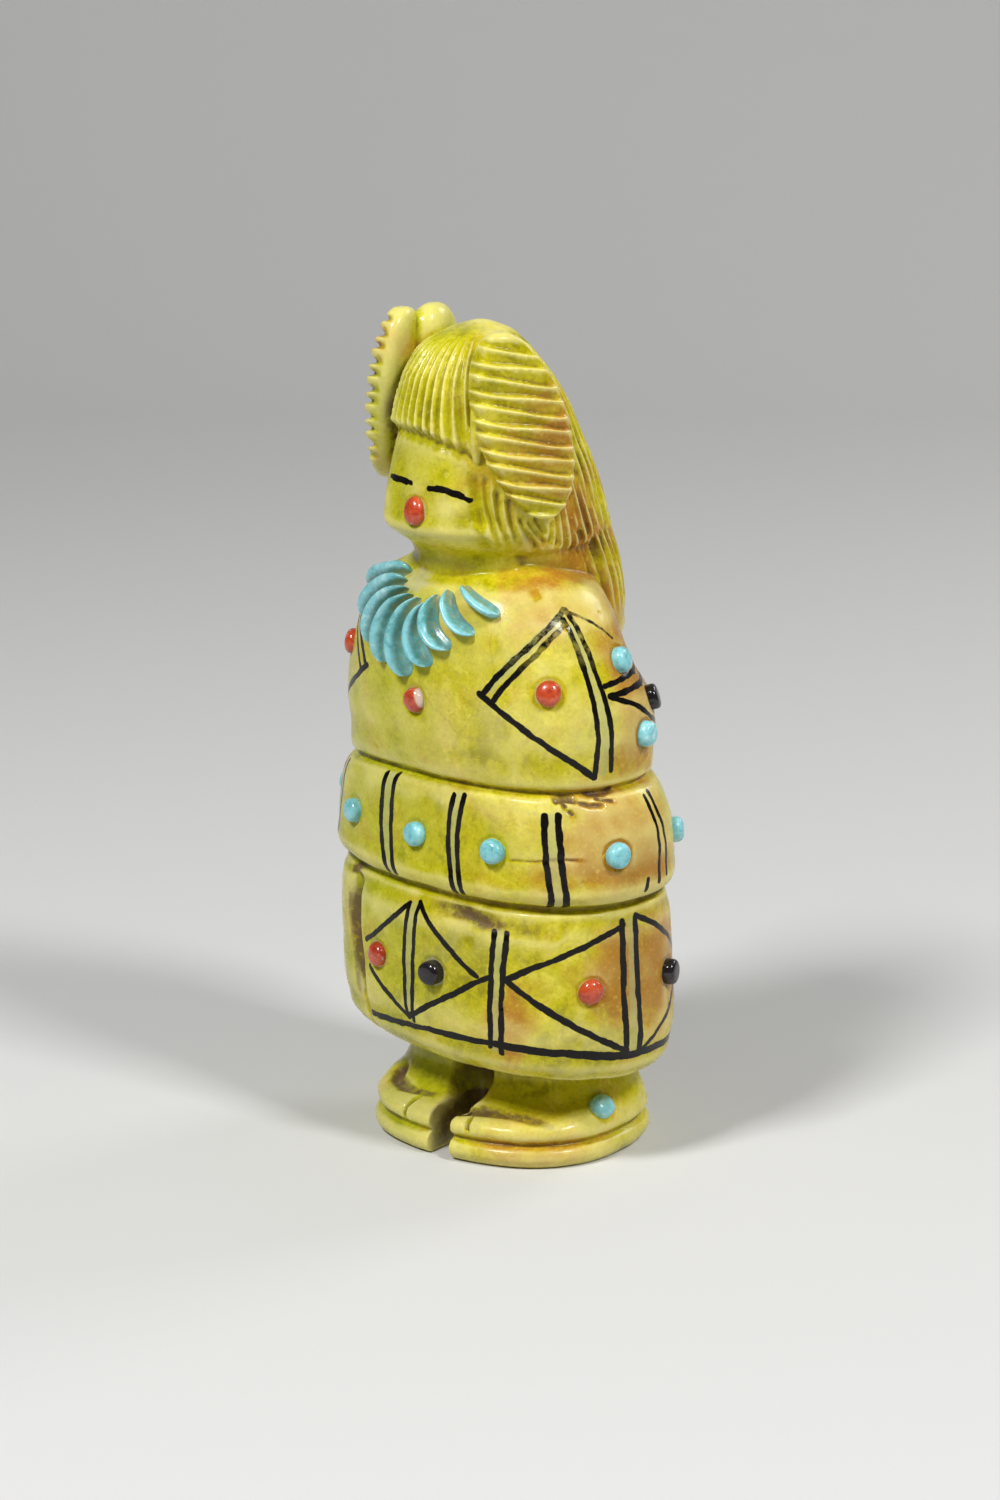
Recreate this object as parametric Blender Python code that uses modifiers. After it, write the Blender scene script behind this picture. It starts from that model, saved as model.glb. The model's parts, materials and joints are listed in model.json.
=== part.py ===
"""A small stone carving of a standing maiden wrapped in a blanket, with bead inlays and a claw necklace.

The figure faces -Y, its left hand is towards +X, and its feet stand on Z = 0. It is one carved stone, drilled
with shallow sockets. Each bead and each claw of the necklace is a separate stone, glued into its own bed.

The stone is the union of five simple forms, each a stack of level rings: the wrapped body, the head with its
fringe and back hair, the two ribbed whorls of hair, and the pair of feet.
"""

import bmesh
import bpy
import numpy as np
from mathutils import Matrix, Vector

MM = 0.001

# Stations up the wrapped body: height, half width, half depth, how far back the ring's middle lies (mm).
BODY_STATIONS = np.array(
    [
        (9.8, 13.0, 8.6, 0.9),
        (10.4, 16.8, 11.2, 1.0),
        (11.4, 18.4, 12.7, 1.1),
        (13.6, 19.3, 13.5, 1.1),
        (20.6, 19.6, 13.6, 1.0),
        (26.6, 19.6, 13.3, 0.8),
        (29.6, 20.1, 12.9, 0.6),
        (32.6, 20.6, 12.9, 0.6),
        (36.6, 20.4, 12.6, 0.6),
        (40.6, 18.9, 12.2, 0.3),
        (43.1, 18.2, 12.0, 0.1),
        (46.6, 18.4, 12.2, 0.0),
        (49.6, 18.1, 11.9, -0.3),
        (52.6, 17.0, 10.9, -1.1),
        (56.1, 15.6, 10.1, -1.5),
        (59.1, 13.9, 9.5, -1.5),
        (61.1, 11.8, 8.8, -1.3),
        (62.6, 9.2, 7.5, -1.1),
        (64.0, 7.6, 6.4, -1.0),
    ]
)
BODY_SQUARENESS = 2.25  # 2 is an ellipse, and more is squarer

# The blanket bulges over the folded arms between two grooves that run right round.
ROLL_BOTTOM = 29.4
ROLL_TOP = 41.4
ROLL_GROOVE_DEPTH = 1.3
ROLL_GROOVE_WIDTH = 1.0
ROLL_DIP = 1.2  # the upper groove dips on the figure's right front
ROLL_DIP_ANGLE = -65.0
ROLL_DIP_WIDTH = 35.0

# The skirt's lower edge hangs lower behind than in front, and lower on the figure's left.
HEM_TILT = 0.06
HEM_SIDE_TILT = 0.03
HEM_TILT_BOTTOM = 12.6
HEM_TILT_TOP = 20.6

# The edge of the wrapped skirt is a groove down the figure's right front.
FLAP_ANGLE = -27.0
FLAP_TOP = 28.2
FLAP_DEPTH = 0.7
FLAP_WIDTH = 2.4

# Stations up the head: height, half width, half depth, how far back the ring's middle lies (mm).
HEAD_STATIONS = np.array(
    [
        (52.2, 8.6, 8.8, 1.2),
        (53.6, 9.9, 10.8, 2.4),
        (56.6, 10.2, 11.5, 2.8),
        (59.6, 10.0, 11.5, 2.8),
        (62.1, 9.6, 11.4, 2.5),
        (63.8, 9.3, 11.2, 2.2),
        (65.0, 9.4, 11.3, 1.6),
        (66.0, 9.7, 11.9, 0.7),
        (67.2, 9.9, 12.4, -0.2),
        (69.0, 9.8, 12.1, -0.5),
        (71.6, 9.6, 11.4, -0.9),
        (75.6, 8.7, 10.1, -1.5),
        (80.6, 7.5, 8.2, -2.3),
        (83.6, 6.3, 6.4, -2.9),
        (85.8, 4.7, 4.5, -3.0),
        (87.1, 2.9, 2.7, -2.8),
        (87.7, 1.0, 0.9, -2.6),
    ]
)
HEAD_SQUARENESS = 2.1

CROWN = 87.6
FRINGE_EDGE = 78.2  # height of the fringe's lower edge at the middle
FRINGE_DROOP = 1.4  # how much lower the edge is at its two ends
FRINGE_HALF_ANGLE = 44.0
FRINGE_STEP = 1.0  # how far the fringe stands out over the face
FRINGE_FLUTES = 10
FLUTE_DEPTH = 0.4
BACK_HAIR_ANGLE = 98.0
BACK_HAIR_LOCKS = 14
LOCK_DEPTH = 0.35
LOCK_BOTTOM = 56.1
HAIR_SIDE_EDGE = 65.2

# The whorls: an upright thick disc on each side of the head, turned a little to the front.
WHORL_MIDDLE = (9.3, -5.9, 78.4)
WHORL_RIGHT_RAISE = 0.9  # the whorl on the figure's right sits higher
WHORL_TURN = 21.7  # degrees from facing straight sideways towards the front
WHORL_HALF_HEIGHT = 9.5
WHORL_HALF_WIDTH = 5.1
WHORL_HALF_THICK = 2.2
WHORL_LEAN = 0.2  # how far its middle line runs back for each millimetre down
WHORL_FLARE = 0.16  # how far it runs outwards for each millimetre down
RIB_PITCH = 1.42
RIB_DEPTH = 0.5
RIB_SLOPE = 0.16  # ribs run down towards the back

# Stations up the feet and legs: height, half width, half depth, how far back the middle lies (mm).
FEET_STATIONS = np.array(
    [
        (0.0, 13.9, 12.0, 1.4),
        (0.5, 14.4, 12.6, 1.4),
        (1.9, 14.5, 12.7, 1.4),
        (2.6, 14.0, 12.1, 1.4),
        (3.2, 14.4, 12.5, 1.4),
        (4.4, 14.3, 12.2, 1.5),
        (5.2, 13.9, 11.3, 2.1),
        (5.8, 13.5, 10.2, 2.8),
        (7.1, 13.0, 9.2, 3.3),
        (8.8, 12.6, 8.8, 3.3),
        (10.2, 13.0, 9.0, 2.8),
        (12.0, 14.2, 9.7, 1.6),
        (13.1, 13.4, 9.2, 1.4),
    ]
)
FEET_SQUARENESS = 2.35
FEET_SHIFT = 0.7
FEET_TURN = 10.0  # degrees the feet are turned towards the figure's left
CREASE_HEIGHT = 5.8  # a crease runs across the front of each foot, above the toes
CREASE_DEPTH = 0.8
CREASE_WIDTH = 0.9
CREASE_HALF_ANGLE = 55.0
TOE_SLOT_WIDTH = 2.8
TOE_SLOT_HEIGHT = 5.8
TOE_SLOT_BACK = -2.6
LEG_SLOT_WIDTH = 6.0
LEG_SLOT_BOTTOM = 5.0
LEG_SLOT_TOP = 10.8
LEG_SLOT_BACK = -1.6

# Beads: a straight stem in a drilled socket under a low dome.
BEAD_RADIUS = 1.35
BEAD_DOME = 0.8
BEAD_STEM = 0.9
BEAD_SIDES = 8
SOCKET_GAP = 0.07

# Beads on the blanket and skirt: name, angle from the front towards the figure's left, height (mm).
BODY_BEADS = (
    ("coral_chest", 0.0, 49.5),
    ("coral_shoulder_left", 57.0, 52.0),
    ("coral_shoulder_right", -57.0, 52.4),
    ("coral_back", 180.0, 48.1),
    ("turquoise_shoulder_left_upper", 104.0, 54.2),
    ("turquoise_shoulder_left_lower", 103.0, 46.5),
    ("turquoise_shoulder_right_upper", -104.0, 54.2),
    ("turquoise_shoulder_right_lower", -103.0, 46.5),
    ("jet_shoulder_left", 121.0, 49.4),
    ("jet_shoulder_right", -121.0, 49.4),
    ("coral_skirt_front", -15.0, 20.8),
    ("jet_skirt_front", 7.0, 21.0),
    ("coral_skirt_left", 68.0, 20.6),
    ("jet_skirt_left", 111.0, 20.4),
    ("coral_skirt_back", 158.0, 20.6),
    ("jet_skirt_back", -162.0, 20.6),
    ("coral_skirt_right", -118.0, 20.6),
    ("jet_skirt_right", -76.0, 20.6),
)
ROLL_BEAD_ANGLES = (0.0, 27.0, 77.0, 124.0, 180.0, -124.0, -77.0, -30.0)
ROLL_BEAD_HEIGHT = 35.2
MOUTH_ANGLE = 3.0
MOUTH_HEIGHT = 69.4
ANKLE_BEAD_ANGLE = 75.0
ANKLE_BEAD_HEIGHT = 5.5

# The necklace: nine curved claws fan out side by side over the chest, and the middle one is the longest.
CLAWS = 9
CLAW_FAN_SIDE = -1.7  # the fan's middle is a little towards the figure's right
CLAW_FAN_HEIGHT = 63.8
CLAW_NECK_HEIGHT = 60.6  # above this the fan narrows with the neck
CLAW_SPREAD = 15.8  # degrees from one claw to the next
CLAW_ROOT_REACH = 4.2
CLAW_ROOT_SHIFT = 0.45  # how much further out each claw starts than its neighbour nearer the middle
CLAW_TIP_REACH = 12.3
CLAW_SHORTER = 0.35
CLAW_BEND = 0.9
CLAW_APART = 0.1
SLIM_CLAWS = 3  # the claws from this number outwards on the figure's left are slimmer
CLAW_SLIMNESS = 0.74
CLAW_RISE = 1.5
CLAW_SINK = 0.5
BED_MARGIN = 0.1


def clear_scene():
    for thing in list(bpy.data.objects):
        bpy.data.objects.remove(thing, do_unlink=True)


def new_collection(name):
    collection = bpy.data.collections.new(name)
    bpy.context.scene.collection.children.link(collection)
    return collection


def new_material(name, colour, roughness):
    material = bpy.data.materials.new(name)
    material.use_nodes = True
    shader = material.node_tree.nodes["Principled BSDF"]
    shader.inputs["Base Color"].default_value = (*colour, 1.0)
    shader.inputs["Roughness"].default_value = roughness
    shader.inputs["Metallic"].default_value = 0.0
    return material


def flow(heights, stations, column):
    """A smooth value at each height, through the stations, with the slope of its neighbours at each one."""
    z = stations[:, 0]
    value = stations[:, column]
    slope = np.gradient(value, z)
    h = np.clip(heights, z[0], z[-1])
    i = np.clip(np.searchsorted(z, h, side="right") - 1, 0, len(z) - 2)
    span = z[i + 1] - z[i]
    t = (h - z[i]) / span
    return (
        value[i] * (2 * t**3 - 3 * t**2 + 1)
        + value[i + 1] * (3 * t**2 - 2 * t**3)
        + span * slope[i] * (t**3 - 2 * t**2 + t)
        + span * slope[i + 1] * (t**3 - t**2)
    )


def smooth_step(edge_low, edge_high, value):
    t = np.clip((value - edge_low) / (edge_high - edge_low), 0.0, 1.0)
    return t * t * (3 - 2 * t)


def bump(distance, width):
    """1 at distance 0, falling to almost nothing one width away."""
    return np.exp(-((distance / (0.55 * width)) ** 2))


def ridges(phase):
    """0 on a row of round ridges and 1 in the sharp valleys between them, one for each whole number."""
    return 1.0 - np.abs(np.sin(np.pi * phase))


def ring_point(angles, heights, stations, squareness, relief):
    """Points of rounded level rings. Angles are in degrees from the front towards the figure's left."""
    turn = np.radians(angles)
    side = np.sin(turn)
    front = np.cos(turn)
    across = np.sign(side) * np.abs(side) ** (2 / squareness)
    along = np.sign(front) * np.abs(front) ** (2 / squareness)
    x = flow(heights, stations, 1) * across + relief * side
    y = flow(heights, stations, 3) - flow(heights, stations, 2) * along - relief * front
    return np.stack([x, y, heights], axis=-1)


def roll_top(angles):
    """Height of the upper groove."""
    return ROLL_TOP - ROLL_DIP * np.exp(-(((angles - ROLL_DIP_ANGLE) / ROLL_DIP_WIDTH) ** 2))


def wrapped_body(angles, heights):
    """The blanket and skirt: the body's rings with the two grooves and the edge of the skirt cut in."""
    relief = -ROLL_GROOVE_DEPTH * bump(heights - ROLL_BOTTOM, ROLL_GROOVE_WIDTH)
    relief = relief - ROLL_GROOVE_DEPTH * bump(heights - roll_top(angles), ROLL_GROOVE_WIDTH)
    below = 1.0 - smooth_step(FLAP_TOP - 1.5, FLAP_TOP, heights)
    relief = relief - FLAP_DEPTH * below * bump(angles - FLAP_ANGLE, FLAP_WIDTH)
    points = ring_point(angles, heights, BODY_STATIONS, BODY_SQUARENESS, relief)
    drop = HEM_TILT * points[..., 1] + HEM_SIDE_TILT * points[..., 0]
    points[..., 2] -= drop * (1 - smooth_step(HEM_TILT_BOTTOM, HEM_TILT_TOP, heights))
    return points


def head_surface(angles, heights):
    """The head: fringe with flutes, smooth face, and locks of hair down the back."""
    away = np.abs(angles)
    edge = FRINGE_EDGE - FRINGE_DROOP * (away / FRINGE_HALF_ANGLE) ** 2
    above_edge = smooth_step(edge - 0.35, edge + 0.05, heights)
    in_fringe = 1.0 - smooth_step(FRINGE_HALF_ANGLE - 1, FRINGE_HALF_ANGLE + 4, away)
    near_crown = smooth_step(CROWN - 5.0, CROWN - 0.5, heights)
    fringe = above_edge * in_fringe
    flutes = ridges((angles + FRINGE_HALF_ANGLE) * FRINGE_FLUTES / (2 * FRINGE_HALF_ANGLE))
    relief = fringe * (FRINGE_STEP - FLUTE_DEPTH * flutes) * (1 - near_crown)
    in_back = smooth_step(BACK_HAIR_ANGLE - 6, BACK_HAIR_ANGLE, away)
    lock_width = (180.0 - BACK_HAIR_ANGLE) * 2 / BACK_HAIR_LOCKS
    locks = ridges((away - BACK_HAIR_ANGLE) / lock_width)
    lower = smooth_step(LOCK_BOTTOM, LOCK_BOTTOM + 4, heights)
    relief = relief - LOCK_DEPTH * locks * in_back * lower * (1 - near_crown)
    on_side = smooth_step(50, 56, away) * (1 - smooth_step(104, 112, away))
    under_hair = 1 - smooth_step(HAIR_SIDE_EDGE - 0.8, HAIR_SIDE_EDGE, heights)
    relief = relief - 0.5 * on_side * under_hair
    return ring_point(angles, heights, HEAD_STATIONS, HEAD_SQUARENESS, relief)


def loft(name, rings, collection):
    """A closed solid through level rings of points, from the lowest up, with a fan across each end."""
    rows, columns, _ = rings.shape
    points = [tuple(p * MM) for p in rings.reshape(-1, 3)]
    points.append(tuple(rings[0].mean(axis=0) * MM))
    points.append(tuple(rings[-1].mean(axis=0) * MM))
    faces = []
    for column in range(columns):
        after = (column + 1) % columns
        faces.append((rows * columns, after, column))
        top = (rows - 1) * columns
        faces.append((rows * columns + 1, top + column, top + after))
        for row in range(rows - 1):
            low = row * columns
            high = low + columns
            faces.append((low + column, low + after, high + after, high + column))
    mesh = bpy.data.meshes.new(name)
    mesh.from_pydata(points, [], faces)
    shape = bmesh.new()
    shape.from_mesh(mesh)
    bmesh.ops.recalc_face_normals(shape, faces=shape.faces[:])
    shape.to_mesh(mesh)
    shape.free()
    thing = bpy.data.objects.new(name, mesh)
    collection.objects.link(thing)
    return thing


def as_helper(thing):
    thing.hide_render = True
    thing.display_type = "WIRE"
    return thing


def add_boolean(thing, other, operation):
    modifier = thing.modifiers.new(f"{operation.lower()} {other.name}", "BOOLEAN")
    modifier.operation = operation
    modifier.solver = "EXACT"
    modifier.object = other


def body_solid(collection):
    """The wrapped body, with rings close together at the grooves and at the hem."""
    heights = np.array(
        [9.8, 10.4, 11.4, 13.1, 16.5, 21.0, 25.0, 27.6]
        + [ROLL_BOTTOM - 0.7, ROLL_BOTTOM, ROLL_BOTTOM + 0.7, 31.6, 35.2, 38.8]
        + [ROLL_TOP - 0.7, ROLL_TOP, ROLL_TOP + 0.7, 44.0, 48.0, 51.6, 54.6, 57.6, 60.0, 61.8, 63.0, 64.0]
    )
    angles = np.arange(-180.0, 180.0, 10.0)
    flap = FLAP_ANGLE + FLAP_WIDTH * np.array([-0.8, 0.0, 0.8])
    angles = np.sort(np.concatenate([angles[np.abs(angles - FLAP_ANGLE) > 4.0], flap]))
    grid_angles, grid_heights = np.meshgrid(angles, heights)
    near_groove = np.exp(-(((grid_heights - ROLL_TOP) / 2.5) ** 2))
    grid_heights = grid_heights + (roll_top(grid_angles) - ROLL_TOP) * near_groove
    return loft("body", wrapped_body(grid_angles, grid_heights), collection)


def head_angles():
    """Two columns to each flute and lock, and a few across the plain sides."""
    flute = 2 * FRINGE_HALF_ANGLE / FRINGE_FLUTES
    fringe = np.arange(FRINGE_FLUTES * 2 + 1) * flute / 2 - FRINGE_HALF_ANGLE
    lock = (180.0 - BACK_HAIR_ANGLE) * 2 / BACK_HAIR_LOCKS
    back = BACK_HAIR_ANGLE + np.arange(BACK_HAIR_LOCKS) * lock / 2
    side = np.linspace(FRINGE_HALF_ANGLE + 6, BACK_HAIR_ANGLE - 8, 4)
    half = np.concatenate([side, back])
    return np.sort(np.concatenate([fringe, half, -half, [180.0]]))


def head_solid(collection):
    heights = np.array(
        [52.2, 53.6, 56.6, 60.6, 64.0, 65.0, 66.1, 67.8, 71.0, 75.0]
        + [FRINGE_EDGE - 0.4, FRINGE_EDGE + 0.1, 80.6, 83.1, 85.2, 86.7, 87.5]
    )
    grid_angles, grid_heights = np.meshgrid(head_angles(), heights)
    droop = FRINGE_DROOP * np.clip(np.abs(grid_angles) / FRINGE_HALF_ANGLE, 0, 1) ** 2
    near_edge = np.exp(-(((grid_heights - FRINGE_EDGE) / 2.5) ** 2))
    return loft("head", head_surface(grid_angles, grid_heights - droop * near_edge), collection)


def whorl_surface(side, turn, up):
    """One whorl: upright rounded sections, ribbed across. Side is 1 for the figure's left and -1 for its right."""
    reach = np.sqrt(np.clip(1 - (up / WHORL_HALF_HEIGHT) ** 2, 0, 1))
    wide = np.sign(np.cos(turn)) * np.abs(np.cos(turn)) ** 0.8
    out = np.sign(np.sin(turn)) * np.abs(np.sin(turn)) ** 0.7
    back = WHORL_HALF_WIDTH * reach * wide
    thick = WHORL_HALF_THICK * reach**0.6 * out
    outer = smooth_step(-0.5, 0.3, np.sin(turn))
    ribs = ridges((up + RIB_SLOPE * back) / RIB_PITCH)
    shrink = RIB_DEPTH * ribs * outer * smooth_step(0.15, 0.4, reach)
    back = back - shrink * np.cos(turn) - WHORL_LEAN * up
    thick = thick - shrink * np.sin(turn) - WHORL_FLARE * up
    facing = np.radians(WHORL_TURN)
    x = WHORL_MIDDLE[0] + back * np.sin(facing) + thick * np.cos(facing)
    y = WHORL_MIDDLE[1] + back * np.cos(facing) - thick * np.sin(facing)
    z = WHORL_MIDDLE[2] + up + 0.5 * WHORL_RIGHT_RAISE * (1 - side)
    return np.stack([side * x, y, z], axis=-1)


def whorl_solid(name, side, collection):
    """Two rings to each rib: one along its crest and one along the valley beside it."""
    rings = int(2 * WHORL_HALF_HEIGHT / RIB_PITCH) * 2
    ups = (np.arange(rings + 1) - rings / 2) * RIB_PITCH / 2
    turns = np.radians(np.arange(10) * 360 / 10)
    grid_turns, grid_ups = np.meshgrid(turns, ups)
    return as_helper(loft(name, whorl_surface(side, grid_turns, grid_ups), collection))


def turned_feet(points):
    """The points turned about the upright axis and moved with the pair of feet."""
    turn = np.radians(FEET_TURN)
    x = points[..., 0] * np.cos(turn) - points[..., 1] * np.sin(turn) + FEET_SHIFT
    y = points[..., 0] * np.sin(turn) + points[..., 1] * np.cos(turn)
    return np.stack([x, y, points[..., 2]], axis=-1)


def feet_surface(angles, heights):
    """Both feet and legs as one form, with the groove above the soles and the crease above the toes."""
    away = np.abs((angles + 180.0) % 360.0 - 180.0)
    in_front = 1.0 - smooth_step(CREASE_HALF_ANGLE - 25.0, CREASE_HALF_ANGLE, away)
    relief = -CREASE_DEPTH * bump(heights - CREASE_HEIGHT, CREASE_WIDTH) * in_front
    return turned_feet(ring_point(angles, heights, FEET_STATIONS, FEET_SQUARENESS, relief))


def feet_solid(collection):
    grid_angles, grid_heights = np.meshgrid(np.arange(0.0, 360.0, 12.0), FEET_STATIONS[:, 0])
    return as_helper(loft("feet", feet_surface(grid_angles, grid_heights), collection))


def slot_cutter(name, width, back, low, high, collection):
    """An upright slot from in front of the toes back to between the heels, round at its inner end."""
    turn = np.radians(np.arange(0, 181, 30))
    inner_x = 0.5 * width * np.cos(turn)
    inner_y = back - 0.5 * width + 0.5 * width * np.sin(turn)
    outline_x = np.concatenate([[0.5 * width], inner_x, [-0.5 * width]])
    outline_y = np.concatenate([[-17.0], inner_y, [-17.0]])
    rings = [np.stack([outline_x, outline_y, 0 * outline_x + z], axis=-1) for z in (low, high)]
    return as_helper(loft(name, turned_feet(np.array(rings)), collection))


def surface_frame(surface, angle, height):
    """A point on a surface, with the direction along it towards the figure's left, up it, and straight out."""
    here = surface(np.array(angle), np.array(height))
    left = surface(np.array(angle + 1.0), np.array(height)) - here
    up = surface(np.array(angle), np.array(height + 0.1)) - here
    out = np.cross(left, up)
    out /= np.linalg.norm(out)
    left /= np.linalg.norm(left)
    return here, left, np.cross(out, left), out


def bead_profile():
    """Half outline of a bead, from the top of its dome down its side to the foot of its stem."""
    rise = np.radians([90.0, 42.0, 0.0])
    outline = [(BEAD_RADIUS * np.cos(a), BEAD_DOME * (0.25 + 0.75 * np.sin(a))) for a in rise]
    outline += [(BEAD_RADIUS, -BEAD_STEM), (0.0, -BEAD_STEM)]
    mesh = bpy.data.meshes.new("bead profile")
    points = [(x * MM, 0.0, z * MM) for x, z in outline]
    mesh.from_pydata(points, [(i, i + 1) for i in range(len(points) - 1)], [])
    return mesh


def set_bead(name, surface, angle, height, material, body, carving, helpers):
    """One bead, turned from its profile and standing square on the stone, in a socket drilled for it."""
    here, left, up, out = surface_frame(surface, angle, height)
    place = Matrix([(*row, 0.0) for row in np.stack([left, up, out], axis=1)] + [(0.0, 0.0, 0.0, 1.0)])
    place.translation = Vector(here * MM)
    bead = bpy.data.objects.new(name, bead_profile())
    bead.data.materials.append(material)
    bead.matrix_world = place
    carving.objects.link(bead)
    screw = bead.modifiers.new("turn", "SCREW")
    screw.steps = BEAD_SIDES
    screw.render_steps = BEAD_SIDES
    screw.use_merge_vertices = True
    screw.merge_threshold = 0.00001
    socket = bmesh.new()
    bmesh.ops.create_cone(
        socket,
        cap_ends=True,
        segments=BEAD_SIDES,
        radius1=(BEAD_RADIUS + SOCKET_GAP) * MM,
        radius2=(BEAD_RADIUS + SOCKET_GAP) * MM,
        depth=2 * (BEAD_STEM + SOCKET_GAP) * MM,
    )
    drill = bpy.data.objects.new(f"socket {name}", bpy.data.meshes.new(f"socket {name}"))
    socket.to_mesh(drill.data)
    socket.free()
    drill.matrix_world = place
    helpers.objects.link(as_helper(drill))
    add_boolean(body, drill, "DIFFERENCE")


def chest_point(x, z, rise):
    """The point of the chest behind (x, z), moved out square to the stone by rise."""
    half_width = flow(np.minimum(z, CLAW_NECK_HEIGHT), BODY_STATIONS, 1)
    share = np.clip(np.abs(x) / half_width, 0, 0.99)
    turn = np.sign(x) * np.degrees(np.arcsin(share ** (BODY_SQUARENESS / 2)))
    here = wrapped_body(turn, z)
    left = wrapped_body(turn + 0.5, z) - wrapped_body(turn - 0.5, z)
    up = wrapped_body(turn, z + 0.1) - wrapped_body(turn, z - 0.1)
    out = np.cross(left, up)
    out /= np.linalg.norm(out, axis=-1, keepdims=True)
    return here + out * rise[..., None]


def claw_surface(number, along, across, rise, margin):
    """One claw of the necklace, counted from the middle towards the figure's left.

    Along runs from 0 at its root to 1 at its tip, across from -1 on its outer curve to 1 on its inner one.
    """
    spread = np.radians(CLAW_SPREAD)
    root = CLAW_ROOT_REACH + CLAW_ROOT_SHIFT * abs(number) - margin
    tip = CLAW_TIP_REACH - CLAW_SHORTER * abs(number) + margin
    reach = root + (tip - root) * along
    fullness = np.sqrt(1 - ((along - 0.42) / 0.6) ** 2)
    half_width = 0.5 * fullness * (reach * spread - CLAW_APART)
    if number >= SLIM_CLAWS:
        half_width = half_width * CLAW_SLIMNESS
    sideways = (half_width + margin) * across - CLAW_BEND * np.sin(np.pi * along)
    heading = number * spread + sideways / reach
    x = CLAW_FAN_SIDE + reach * np.sin(heading)
    z = CLAW_FAN_HEIGHT - reach * np.cos(heading)
    return chest_point(x, z, rise * (0.4 + 0.6 * fullness) - CLAW_SINK - margin)


def set_claw(number, material, body, carving, helpers):
    """One claw with a ridge nearer its outer curve, sunk in a bed cut a little wider than itself."""
    name = f"necklace_claw_{number + CLAWS // 2 + 1}"
    along = np.array([0.0, 0.15, 0.35, 0.55, 0.75, 0.9, 1.0])[:, None]
    across = np.array([-1.0, -1.0, -0.5, 0.3, 1.0, 1.0])
    rise = np.array([0.0, 0.55, 1.0, 0.62, 0.2, 0.0]) * CLAW_RISE
    rise[1:-1] += CLAW_SINK
    claw = loft(name, claw_surface(number, along, across, rise, 0.0), carving)
    claw.data.materials.append(material)
    across = np.array([-1.0, -1.0, 1.0, 1.0])
    rise = np.array([0.0, 2.0, 2.0, 0.0]) * CLAW_RISE
    bed = loft(f"bed {name}", claw_surface(number, along, across, rise, BED_MARGIN), helpers)
    add_boolean(body, as_helper(bed), "DIFFERENCE")


def main():
    clear_scene()
    carving = new_collection("fetish_carving")
    helpers = new_collection("joined forms and cutters")
    stone = new_material("yellow green serpentine", (0.62, 0.58, 0.12), 0.22)

    body = body_solid(carving)
    body.data.materials.append(stone)
    feet = feet_solid(helpers)
    toe_slot = slot_cutter("toe slot", TOE_SLOT_WIDTH, TOE_SLOT_BACK, -1.0, TOE_SLOT_HEIGHT, helpers)
    leg_slot = slot_cutter("leg slot", LEG_SLOT_WIDTH, LEG_SLOT_BACK, LEG_SLOT_BOTTOM, LEG_SLOT_TOP, helpers)
    add_boolean(feet, toe_slot, "DIFFERENCE")
    add_boolean(feet, leg_slot, "DIFFERENCE")
    add_boolean(body, feet, "UNION")
    add_boolean(body, as_helper(head_solid(helpers)), "UNION")
    add_boolean(body, whorl_solid("whorl left", 1, helpers), "UNION")
    add_boolean(body, whorl_solid("whorl right", -1, helpers), "UNION")

    stones = {
        "coral": new_material("coral", (0.62, 0.09, 0.04), 0.25),
        "turquoise": new_material("turquoise", (0.20, 0.60, 0.62), 0.3),
        "jet": new_material("jet", (0.02, 0.02, 0.02), 0.2),
    }
    beads = [(name, wrapped_body, angle, height) for name, angle, height in BODY_BEADS]
    for number, angle in enumerate(ROLL_BEAD_ANGLES):
        beads.append((f"turquoise_roll_{number + 1}", wrapped_body, angle, ROLL_BEAD_HEIGHT))
    beads.append(("coral_mouth", head_surface, MOUTH_ANGLE, MOUTH_HEIGHT))
    beads.append(("turquoise_ankle_left", feet_surface, ANKLE_BEAD_ANGLE, ANKLE_BEAD_HEIGHT))
    beads.append(("turquoise_ankle_right", feet_surface, -ANKLE_BEAD_ANGLE - 2 * FEET_TURN, ANKLE_BEAD_HEIGHT))
    for name, surface, angle, height in beads:
        set_bead(name, surface, angle, height, stones[name.split("_")[0]], body, carving, helpers)
    for number in range(-(CLAWS // 2), CLAWS // 2 + 1):
        set_claw(number, stones["turquoise"], body, carving, helpers)


main()
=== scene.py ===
# %% [markdown]
# # A carved stone maiden
# The real thing is one small standing stone, cut with files and burrs, polished, inlaid with beads and drawn
# on with black ink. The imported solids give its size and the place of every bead. This lesson dresses them:
# it cuts the finer relief of the stone again at a jeweller's scale, rounds the beads, and finishes each stone.
# All work is in millimetres on plain numpy arrays. A mesh is turned into metres only when it is handed over.

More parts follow.
